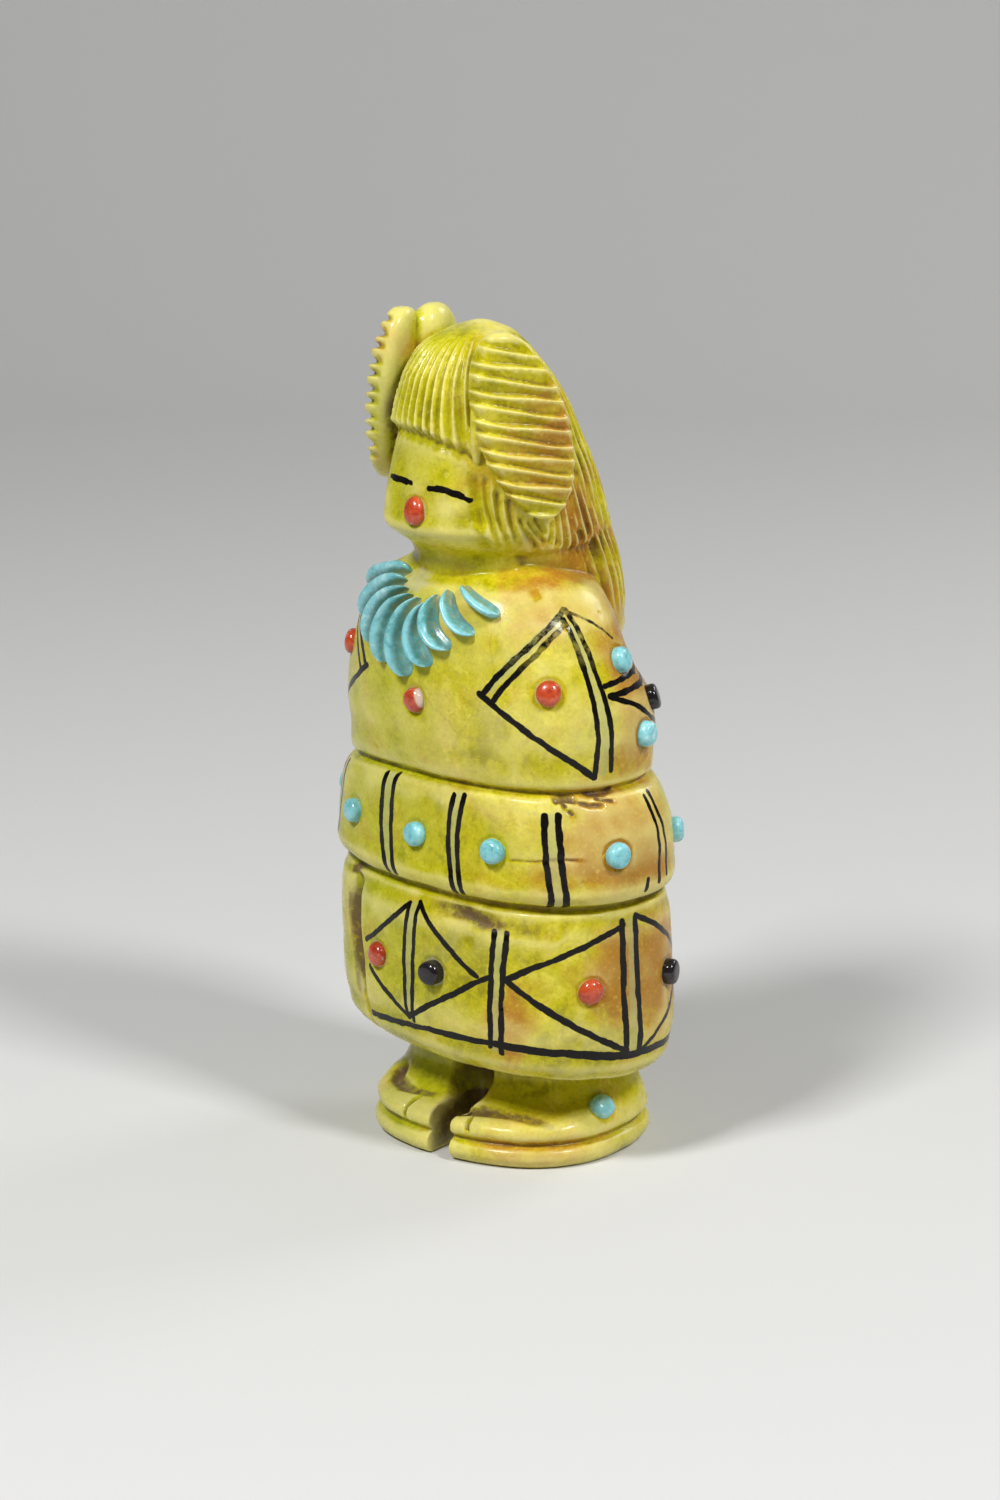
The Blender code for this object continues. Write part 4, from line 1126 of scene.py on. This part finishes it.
# In a long chain, Minimum and Maximum ask less of the renderer than a clamp does.
share = bench.maths("MINIMUM", bench.maths("MAXIMUM", share, 0.0), 1.0)
nearest = bench.vectors("SCALE", run, Scale=share)[0]
square = bench.vectors("NORMALIZE", bench.vectors("CROSS_PRODUCT", run, (0, 0, -1))[0])[0]
bow = bench.times(bench.minus(share, bench.times(share, share)), given["Bow"])
sideways = bench.vectors("SCALE", square, Scale=bow)[0]
off_line = bench.vectors("SUBTRACT", bench.vectors("SUBTRACT", from_start, nearest)[0], sideways)[0]
distance = bench.minus(bench.vectors("LENGTH", off_line)[1], given["Half Width"])
bench.join(bench.maths("MINIMUM", given["So Far"], distance), gives["Distance"])
print("brush stroke:", len(bench.tree.nodes), "nodes")

# %% The strokes
# Each stroke: degrees and height where it starts, degrees and height where it ends, half its width in mm, and
# how far it bows out to the left of its own run, in mm.
SKIRT_FRONT = [
    (-3.6, 27.6, -33.5, 21.8, 0.3, 0.1), (-30.5, 19.1, -3, 15.3, 0.28, -0.1),
    (-3.6, 27.6, -3.2, 15.3, 0.28, -0.6), (2, 27.8, 0.6, 15, 0.28, -0.35),
    (2, 27.8, 35, 21.5, 0.31, -0.15), (-3, 15.3, 41, 21.8, 0.31, -0.1),
    (42.3, 26.6, 40.8, 14.1, 0.3, -0.2), (46.9, 26.6, 45, 13.6, 0.3, -0.25),
    (-31.8, 13.8, 10, 14.5, 0.36, 0), (10, 14.5, 43, 14.6, 0.4, 0), (43, 14.6, 67, 14, 0.46, 0),
    (67, 14, 88, 12.9, 0.5, 0),
]
ROLL_FRONT = [
    (-23.9, 40.4, -17.7, 30.4, 0.34, -0.9), (-16.5, 40.6, -12.3, 30.4, 0.33, -0.75),
    (22.8, 40.2, 24.8, 30, 0.31, -0.75), (28.4, 40.4, 28.7, 30, 0.31, -0.75), (91.3, 32, 90.8, 30.8, 0.24, 0),
]
EYES = [
    (9.5, 71.9, 29.5, 70.95, 0.25, 0.3), (14, 71.95, 26, 71.35, 0.34, 0.12),
    (-1.5, 72.1, -18.5, 72.2, 0.24, -0.1), (-4.5, 72.1, -15.5, 72.2, 0.33, -0.06),
]
SKIRT_SIDES = [
    (46.7, 21.7, 85, 27.2, 0.33, 0.2), (46.7, 21.6, 87, 13.5, 0.36, -0.2),
    (84.5, 27.6, 86.6, 13.3, 0.38, -0.15), (90, 27.8, 92.3, 13.2, 0.38, -0.15),
    (90, 28, 121, 20.6, 0.31, 0.5), (93, 13.1, 121, 20.6, 0.31, -0.4),
    (126, 27.6, 126.5, 13.2, 0.32, 0), (129.5, 27.6, 130, 13.2, 0.32, 0), (134, 21, 176, 27.5, 0.33, 0),
    (134, 21, 176, 13.4, 0.33, 0), (176, 27.6, 176, 13, 0.32, 0), (88, 12.9, 180, 12.2, 0.46, 0),
]
BOTH_SIDES = [
    (59.5, 39.4, 61.5, 29.8, 0.33, -0.25), (64, 39.4, 66, 29.9, 0.33, -0.25), (96, 40.2, 96.5, 31.4, 0.26, 0.2),
    (98.6, 40.4, 100.7, 31.8, 0.26, 0.25), (134, 40.2, 134.5, 30.6, 0.3, 0), (138, 40.2, 138.5, 30.6, 0.3, 0),
    (37, 51.4, 71.8, 59.8, 0.3, 0.55), (41.2, 50.8, 70.3, 58.5, 0.27, 0.45), (36, 51.5, 76.3, 43.1, 0.34, 0.2),
    (70.3, 58.9, 76.5, 43.1, 0.32, 0.9), (73, 59.7, 82.6, 43.6, 0.32, 0.85), (73, 59.6, 93, 56.4, 0.15, 0.3),
    (82, 52.2, 102, 52.6, 0.3, 0.1), (83, 51.2, 104, 51.3, 0.3, 0.1), (83, 51.1, 104, 47.8, 0.28, 0.35),
    (102, 52.6, 131, 54.6, 0.3, 0), (104, 51.3, 128, 52.6, 0.28, 0), (104, 47.8, 131, 44.2, 0.3, 0),
    (131, 54.6, 131, 44.2, 0.3, 0),
]
# The stone is paler between double lines. These wide strokes say where.
BETWEEN = [
    (-20.1, 40.3, -15, 30.5, 0.5, -0.82), (25.7, 40.2, 26.8, 30.2, 0.55, -0.75),
    (-0.8, 27.4, -1.3, 15.3, 0.5, -0.45), (44.6, 26.4, 42.9, 14.1, 0.55, -0.25),
    (61.8, 39.2, 63.8, 30, 0.5, -0.25), (88.5, 27.4, 89.5, 13.5, 0.5, -0.1),
    (40.5, 52.2, 69.5, 59.2, 0.5, 0.5), (73, 58, 79.5, 43.6, 0.5, 0.85),
]


def draw_strokes(bench, strokes, place, scale, so_far):
    """Chains the strokes: each one passes on the smaller of its own distance and the distance so far.
    Share minus share squared is a quarter in the middle, so the group is given four times the bow."""
    group = bpy.data.node_groups["brush stroke"]
    for start, low, end, high, half_width, bow in strokes:
        stroke = bench.add("ShaderNodeGroup", {"node_tree": group}, So_Far=so_far, Place=place, Scale=scale)
        stroke.inputs["Start"].default_value = (start, low, 0)
        stroke.inputs["Run"].default_value = (end - start, high - low, 0)
        stroke.inputs["Half Width"].default_value = half_width
        stroke.inputs["Bow"].default_value = 4 * bow
        so_far = stroke.outputs["Distance"]
    return so_far


print(len(SKIRT_FRONT + ROLL_FRONT + EYES + SKIRT_SIDES + BOTH_SIDES), "strokes,", len(BETWEEN), "pale ones")

# %% [markdown]
# ## The yellow-green stone
# Serpentine like this is lime and olive in clouds, with orange rust on the figure's left and back, brown
# patina in the cuts, thin dark veins, and a strong polish. The colours are layered in that order, as they lie
# in the real stone: clouds, rust, veins and specks inside it, then patina, glue and ink on top of it. Painted
# shade goes in with the patina, and painted highlights on the crests go over it.

# %% Stone colours, inside the stone


def new_material(name):
    """A material, its bench, its shader, and the place of each point of the carving in millimetres."""
    material = bpy.data.materials.new(name)
    material.use_nodes = True
    bench = Bench(material.node_tree)
    shader = material.node_tree.nodes["Principled BSDF"]
    place = bench.add("ShaderNodeTexCoord").outputs["Object"]
    return material, bench, shader, bench.vectors("MULTIPLY", place, (1 / MM, 1 / MM, 1 / MM))[0]


def use_group(bench, name, place, **inputs):
    """Puts a group into a material with its own values, and returns the group's outputs."""
    node = bench.add("ShaderNodeGroup", {"node_tree": bpy.data.node_groups[name]}, Place=place)
    for key, value in inputs.items():
        bench.join(value, node.inputs[key.replace("_", " ")])
    return node.outputs


def cloudy(bench, place, size, light, middle, dark):
    """The cloudy colour of one kind of stone."""
    colours = {"Light": (*light, 1), "Middle": (*middle, 1), "Dark": (*dark, 1)}
    return use_group(bench, "cloudy colour", place, Size=size, **colours)["Color"]


DEGREES_PER_RADIAN, RADIANS_PER_DEGREE = 57.2958, 0.0174533
serpentine, bench, shader, place = new_material("yellow_green_serpentine")
x, y, z = bench.add("ShaderNodeSeparateXYZ", None, i0=place).outputs
ahead = bench.minus(MIDDLE_Y, y)
degrees = bench.times(bench.maths("ARCTAN2", x, ahead), DEGREES_PER_RADIAN)
colour = cloudy(bench, place, 0.7, (0.74, 0.65, 0.06), (0.54, 0.475, 0.006), (0.31, 0.275, 0.0))
greener = bench.ramp(bench.plus(degrees, bench.times(bench.noise(place, 0.12, 2.0), 60.0)), 75, -5)
colour = bench.paint(greener, 0.45, colour, (0.38, 0.44, 0.015, 1))
rust = bench.plus(bench.noise(place, 0.16, 5.0, 0.66, 0.6), bench.times(bench.layer("rusty"), 0.46))
colour = bench.paint(bench.ramp(rust, 0.48, 0.84), 0.9, colour, (0.50, 0.25, 0.022, 1))
red_rust = bench.ramp(bench.plus(rust, bench.times(bench.noise(place, 0.55, 5.0, 0.75), 0.3)), 0.84, 1.02)
colour = bench.paint(red_rust, 0.55, colour, (0.38, 0.13, 0.015, 1))
print("nodes for clouds and rust:", len(bench.tree.nodes))

# %% Veins and specks
bend = bench.noise(place, 0.28, 3.0, 0.5, output="Color")
bent = bench.vectors("MULTIPLY_ADD", bend, (3, 3, 3), i2=place)[0]
cells = bench.add("ShaderNodeTexVoronoi", {"feature": "DISTANCE_TO_EDGE"}, Vector=bent, Scale=0.11)
vein_here = bench.times(bench.ramp(bench.noise(place, 0.14, 2.0), 0.5, 0.66), bench.ramp(z, 62, 56))
vein = bench.times(bench.ramp(cells.outputs["Distance"], 0.03, 0.0), vein_here)
colour = bench.paint(vein, 0.3, colour, (0.22, 0.15, 0.02, 1))
dark_specks = use_group(bench, "speckle", place, Size=1.7, Amount=0.34)["Mask"]
colour = bench.paint(dark_specks, 0.3, colour, (0.24, 0.17, 0.02, 1))
pale_specks = use_group(bench, "speckle", bent, Size=0.9, Amount=0.3)["Mask"]
colour = bench.paint(pale_specks, 0.3, colour, (0.76, 0.71, 0.15, 1))
grain = bench.noise(place, 2.4, 3.0, 0.7)
colour = bench.blend(bench.ramp(grain, 0.5, 0.72, 0.0, 0.45), colour, (0.25, 0.21, 0.0, 1))
colour = bench.blend(bench.ramp(grain, 0.46, 0.3, 0.0, 0.35), colour, (0.71, 0.64, 0.05, 1))
print("nodes so far:", len(bench.tree.nodes))

# %% Patina and painted shade in the cuts, and painted highlights on the crests
# Fine cuts and broad hollows such as the neck and the undercuts are darkened, partly as brown patina and partly
# as painted shade.
patina_and_shade_noise = bench.plus(bench.noise(place, 0.7, 4.0, 0.7), 0.5)
fine_hollow = bench.layer("hollow_fine")
fine_patina_and_shade = bench.ramp(bench.times(fine_hollow, patina_and_shade_noise), 0.02, 0.13)
broad_patina_and_shade = bench.ramp(bench.times(bench.layer("hollow_broad"), patina_and_shade_noise), 0.12, 0.8)
colour = bench.paint(broad_patina_and_shade, 0.6, colour, (0.22, 0.15, 0.02, 1))
colour = bench.paint(fine_patina_and_shade, 0.7, colour, (0.15, 0.085, 0.015, 1))
# The brown layer is wax in the cuts, and painted shade in the toe slot, the leg hollow, below the roll and by
# the far whorl.
ragged = bench.plus(bench.times(bench.noise(place, 1.1, 5.0, 0.78), 1.9), -0.35)
wax_and_shade_share = bench.ramp(bench.times(bench.layer("stain"), ragged), 0.08, 0.55)
wax_and_shade_colour = bench.blend(bench.noise(place, 0.9, 4.0, 0.7), (0.05, 0.026, 0.01, 1), (0.19, 0.11, 0.06, 1))
colour = bench.paint(wax_and_shade_share, 0.9, colour, wax_and_shade_colour)
# Convex crests are painted paler: partly stone worn pale, partly a painted highlight along the ridges.
crest_wear_and_highlight = bench.ramp(fine_hollow, -0.02, -0.12)
colour = bench.paint(crest_wear_and_highlight, 0.6, colour, (0.82, 0.74, 0.27, 1))
glue_mask = bench.ramp(bench.times(bench.layer("glue"), bench.noise(place, 1.3, 3.0, 0.6)), 0.24, 0.5)
colour = bench.paint(glue_mask, 0.5, colour, (0.52, 0.50, 0.36, 1))
print("nodes with patina and glue:", len(bench.tree.nodes))

# %% The unrolled stone, with a shaky hand
reach = bench.plus(bench.times(x, x), bench.times(ahead, ahead))
scale = bench.flat(bench.times(bench.maths("SQRT", reach), RADIANS_PER_DEGREE), 1.0)
shake = bench.noise(place, 0.45, 2.0, 0.5, output="Color")
shake_x, shake_y, _ = bench.add("ShaderNodeSeparateXYZ", None, i0=shake).outputs
drawn_degrees = bench.maths("MULTIPLY_ADD", bench.minus(shake_x, 0.5), 1.2, degrees)
drawn_height = bench.maths("MULTIPLY_ADD", bench.minus(shake_y, 0.5), 0.35, z)
drawn = bench.flat(drawn_degrees, drawn_height)
mirrored = bench.vectors("ABSOLUTE", drawn)[0]
# On the figure's right the skirt's pattern starts 13 degrees later, past the plain underlayer, and is squeezed
# until it is level with the left side's again, at 121 degrees.
RIGHT_SQUEEZE, RIGHT_START = 1.218, 26.4
right_side = bench.plus(bench.times(drawn_degrees, -RIGHT_SQUEEZE), -RIGHT_START)
right_side = bench.maths("MINIMUM", right_side, bench.times(drawn_degrees, -1.0))
on_skirt = bench.flat(bench.maths("MAXIMUM", drawn_degrees, right_side), drawn_height)
print("nodes with the unrolled stone:", len(bench.tree.nodes))

# %% Ink on top
distance = draw_strokes(bench, SKIRT_FRONT + ROLL_FRONT + EYES, drawn, scale, 9.0)
distance = draw_strokes(bench, SKIRT_SIDES, on_skirt, scale, distance)
distance = draw_strokes(bench, BOTH_SIDES, mirrored, scale, distance)
uneven = bench.times(bench.minus(bench.noise(place, 0.8, 2.0), 0.5), 0.3)
ink = bench.ramp(bench.plus(distance, uneven), 0.04, -0.04)
# Handling has worn the ink high on the shoulders.
near_top = bench.times(bench.ramp(z, 53.5, 57.5), bench.ramp(z, 62.0, 60.5))
worn = bench.times(bench.ramp(bench.noise(place, 0.7, 5.0, 0.7), 0.42, 0.62), near_top)
# The pale stone between the double lines lies under the ink.
between = draw_strokes(bench, BETWEEN, drawn, scale, 9.0)
pale = bench.ramp(bench.plus(between, uneven), 0.15, -0.15, 0.0, 0.5)
colour = bench.blend(pale, colour, (0.42, 0.45, 0.20, 1))
ink_share = bench.times(ink, bench.minus(1.0, bench.times(worn, 0.5)))
colour = bench.blend(ink_share, colour, (0.005, 0.004, 0.003, 1))
bench.join(colour, shader.inputs["Base Color"])
print("nodes in the stone's material:", len(bench.tree.nodes))

# %% Polish


def polished(bench, shader, place, bump=0.0, depth=0.0, **worn):
    """Wires worn polish into a shader's roughness. With a bump, its height also tilts the surface a little."""
    polish = use_group(bench, "worn polish", place, **worn)
    bench.join(polish["Roughness"], shader.inputs["Roughness"])
    if bump:
        relief = bench.add("ShaderNodeBump", None, Strength=bump, Distance=depth, Height=polish["Height"])
        bench.join(relief.outputs["Normal"], shader.inputs["Normal"])


def set_shader(shader, **values):
    """Sets plain values on the shader's own sockets."""
    for name, value in values.items():
        shader.inputs[name.replace("_", " ")].default_value = value


dull = bench.plus(bench.times(wax_and_shade_share, 0.9), bench.times(glue_mask, 0.7))
polished(bench, shader, place, 0.25, 0.12 * MM, Smoothest=0.13, Roughest=0.4, Dull=dull)
set_shader(shader, Subsurface_Weight=0.12, Subsurface_Radius=(1.0, 0.8, 0.25), Subsurface_Scale=1.2 * MM)
set_shader(shader, Coat_Weight=0.05, Coat_Roughness=0.07, Specular_IOR_Level=0.2)
stone.data.materials.clear()
stone.data.materials.append(serpentine)
print("stone finished")

# %% [markdown]
# ## Turquoise, coral and jet
# Turquoise is sky blue with paler clouds and a little brown matrix. Coral is orange red with faint pale
# clouds, often half covered by a smear of white glue. Jet is black and takes the highest polish.

# %% Turquoise
turquoise, bench, shader, place = new_material("sky_turquoise")
colour = cloudy(bench, place, 1.6, (0.46, 0.78, 0.79), (0.24, 0.58, 0.62), (0.12, 0.40, 0.42))
matrix = use_group(bench, "speckle", place, Size=2.6, Amount=0.36)["Mask"]
colour = bench.paint(matrix, 0.3, colour, (0.36, 0.34, 0.12, 1))
# The hollow slope and the root of each claw are darkened, partly as dust and partly as painted shade.
slope_dust_and_shade = bench.layer("slope_dust_and_shade")
mottled_dust_and_shade = bench.times(slope_dust_and_shade, bench.noise(place, 1.2, 4.0, 0.65))
colour = bench.blend(bench.ramp(mottled_dust_and_shade, 0.05, 0.5, 0.0, 0.8), colour, (0.09, 0.23, 0.17, 1))
brown = bench.ramp(bench.times(slope_dust_and_shade, bench.noise(place, 0.9, 5.0, 0.7, 1.0)), 0.36, 0.64)
colour = bench.paint(brown, 0.65, colour, (0.36, 0.31, 0.08, 1))
bench.join(colour, shader.inputs["Base Color"])
polished(bench, shader, place, 0.3, 0.1 * MM, Smoothest=0.16, Roughest=0.42)
set_shader(shader, Subsurface_Weight=0.08, Subsurface_Scale=0.6 * MM)
print("nodes in turquoise:", len(bench.tree.nodes))

# %% Coral and jet
coral, bench, shader, place = new_material("orange_coral")
colour = cloudy(bench, place, 1.8, (0.66, 0.15, 0.06), (0.52, 0.065, 0.018), (0.34, 0.03, 0.012))
smear = bench.maths("MAXIMUM", bench.layer("smear"), bench.ramp(bench.noise(place, 0.8, 4.0, 0.7), 0.60, 0.70))
colour = bench.paint(smear, 0.8, colour, (0.62, 0.58, 0.50, 1))
bench.join(colour, shader.inputs["Base Color"])
polished(bench, shader, place, Smoothest=0.1, Roughest=0.4)
set_shader(shader, Coat_Weight=0.4, Subsurface_Weight=0.1, Subsurface_Scale=0.6 * MM)

jet, bench, shader, place = new_material("black_jet")
colour = cloudy(bench, place, 1.5, (0.045, 0.035, 0.04), (0.018, 0.014, 0.016), (0.008, 0.006, 0.008))
bench.join(colour, shader.inputs["Base Color"])
polished(bench, shader, place, Smoothest=0.06, Roughest=0.3)
inlays = {"turquoise": turquoise, "coral": coral, "jet": jet}
print("inlay stones:", list(inlays))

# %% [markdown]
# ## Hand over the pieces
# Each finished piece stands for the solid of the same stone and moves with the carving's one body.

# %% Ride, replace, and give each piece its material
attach(stone, "root")
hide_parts("body")
for name, piece in {**beads, **claws}.items():
    kind = "turquoise" if name.startswith("necklace") else name.split("_")[0]
    piece.data.materials.append(inlays[kind])
    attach(piece, "root")
    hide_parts(name)

# %% [markdown]
# ## Studio
# A pale sweep of floor rises behind the figure. One small soft light hangs above on the camera's right and a
# second on its left, and a weak, wider one from behind on the right draws the edge of the hair and the roll.
# The floor is a sheet again: across it one way, and along its path the other, turned to face the camera.

# %% Floor
CAMERA_TURN, CAMERA_RISE = np.radians(46.0), np.radians(15.0)
# In metres: half the width, where the flat part starts, its length, the bend's radius and the wall's height.
FLOOR_HALF_WIDTH, FLOOR_START, FLOOR_LENGTH, BEND_RADIUS, WALL_HEIGHT = 3.0, -3.0, 3.4, 0.25, 0.8
# Shares of the path at which the flat part ends, and the bend.
FLAT_END, BEND_END = 0.55, 0.8
across, path = np.meshgrid(np.linspace(-FLOOR_HALF_WIDTH, FLOOR_HALF_WIDTH, 3), np.linspace(0, 1, 60))
turn = np.clip((path - FLAT_END) / (BEND_END - FLAT_END), 0, 1) * np.pi / 2
back = FLOOR_START + np.clip(path / FLAT_END, 0, 1) * FLOOR_LENGTH + BEND_RADIUS * np.sin(turn)
up = BEND_RADIUS * (1 - np.cos(turn)) + np.clip((path - BEND_END) / (1 - BEND_END), 0, 1) * WALL_HEIGHT
x = across * np.cos(CAMERA_TURN) - back * np.sin(CAMERA_TURN)
y = across * np.sin(CAMERA_TURN) + back * np.cos(CAMERA_TURN)
index = np.arange(x.size).reshape(x.shape)
quads = np.stack([index[:-1, :-1], index[:-1, 1:], index[1:, 1:], index[1:, :-1]], axis=-1).reshape(-1, 4)
floor_mesh = bpy.data.meshes.new("floor")
floor_mesh.from_pydata(np.stack([x, y, up], axis=-1).reshape(-1, 3).tolist(), [], quads.tolist())
floor_mesh.shade_smooth()
paper = bpy.data.materials.new("pale_paper")
paper.use_nodes = True
set_shader(paper.node_tree.nodes["Principled BSDF"], Base_Color=(0.62, 0.62, 0.61, 1), Roughness=0.9)
floor_mesh.materials.append(paper)
floor = into_scene(bpy.data.objects.new("floor", floor_mesh))
print("floor:", len(quads), "faces")

# %% Camera
# Where the camera looks and how far it stands from there, in metres, and its lens in millimetres.
AIM, CAMERA_AWAY, LENS = Vector((0.0, 0.0, 0.0419)), 0.45, 102.9
level = np.cos(CAMERA_RISE)
to_camera = Vector((np.sin(CAMERA_TURN) * level, -np.cos(CAMERA_TURN) * level, np.sin(CAMERA_RISE)))
camera = into_scene(bpy.data.objects.new("camera", bpy.data.cameras.new("camera")))
camera.location = AIM + CAMERA_AWAY * to_camera
camera.rotation_euler = (-to_camera).to_track_quat("-Z", "Y").to_euler()
camera.data.lens, camera.data.sensor_width, camera.data.clip_start = LENS, 36.0, 0.01
bpy.context.scene.camera = camera
print("camera at", [round(v, 3) for v in camera.location])

# %% Lights and surroundings


def soft_light(name, degrees_left, height, away, size, watts):
    """A square area light aimed at the figure. Degrees are measured from the camera's side, to its left."""
    angle = CAMERA_TURN - np.radians(degrees_left)
    light = bpy.data.lights.new(name, "AREA")
    light.size, light.energy = size, watts
    lamp = into_scene(bpy.data.objects.new(name, light))
    lamp.location = Vector((np.sin(angle) * away, -np.cos(angle) * away, height))
    lamp.rotation_euler = (lamp.location - AIM).to_track_quat("Z", "Y").to_euler()


soft_light("key", -46, 0.50, 0.44, 0.11, 2.4)
soft_light("fill", 42, 0.54, 0.42, 0.13, 3.4)
soft_light("edge", -125, 0.35, 0.5, 0.2, 0.8)
world = bpy.data.worlds.new("studio")
world.use_nodes = True
set_shader(world.node_tree.nodes["Background"], Color=(0.95, 0.97, 1.0, 1), Strength=0.08)
bpy.context.scene.world = world
bpy.context.scene.view_settings.view_transform = "Standard"
print("lights:", [light.name for light in bpy.data.lights])
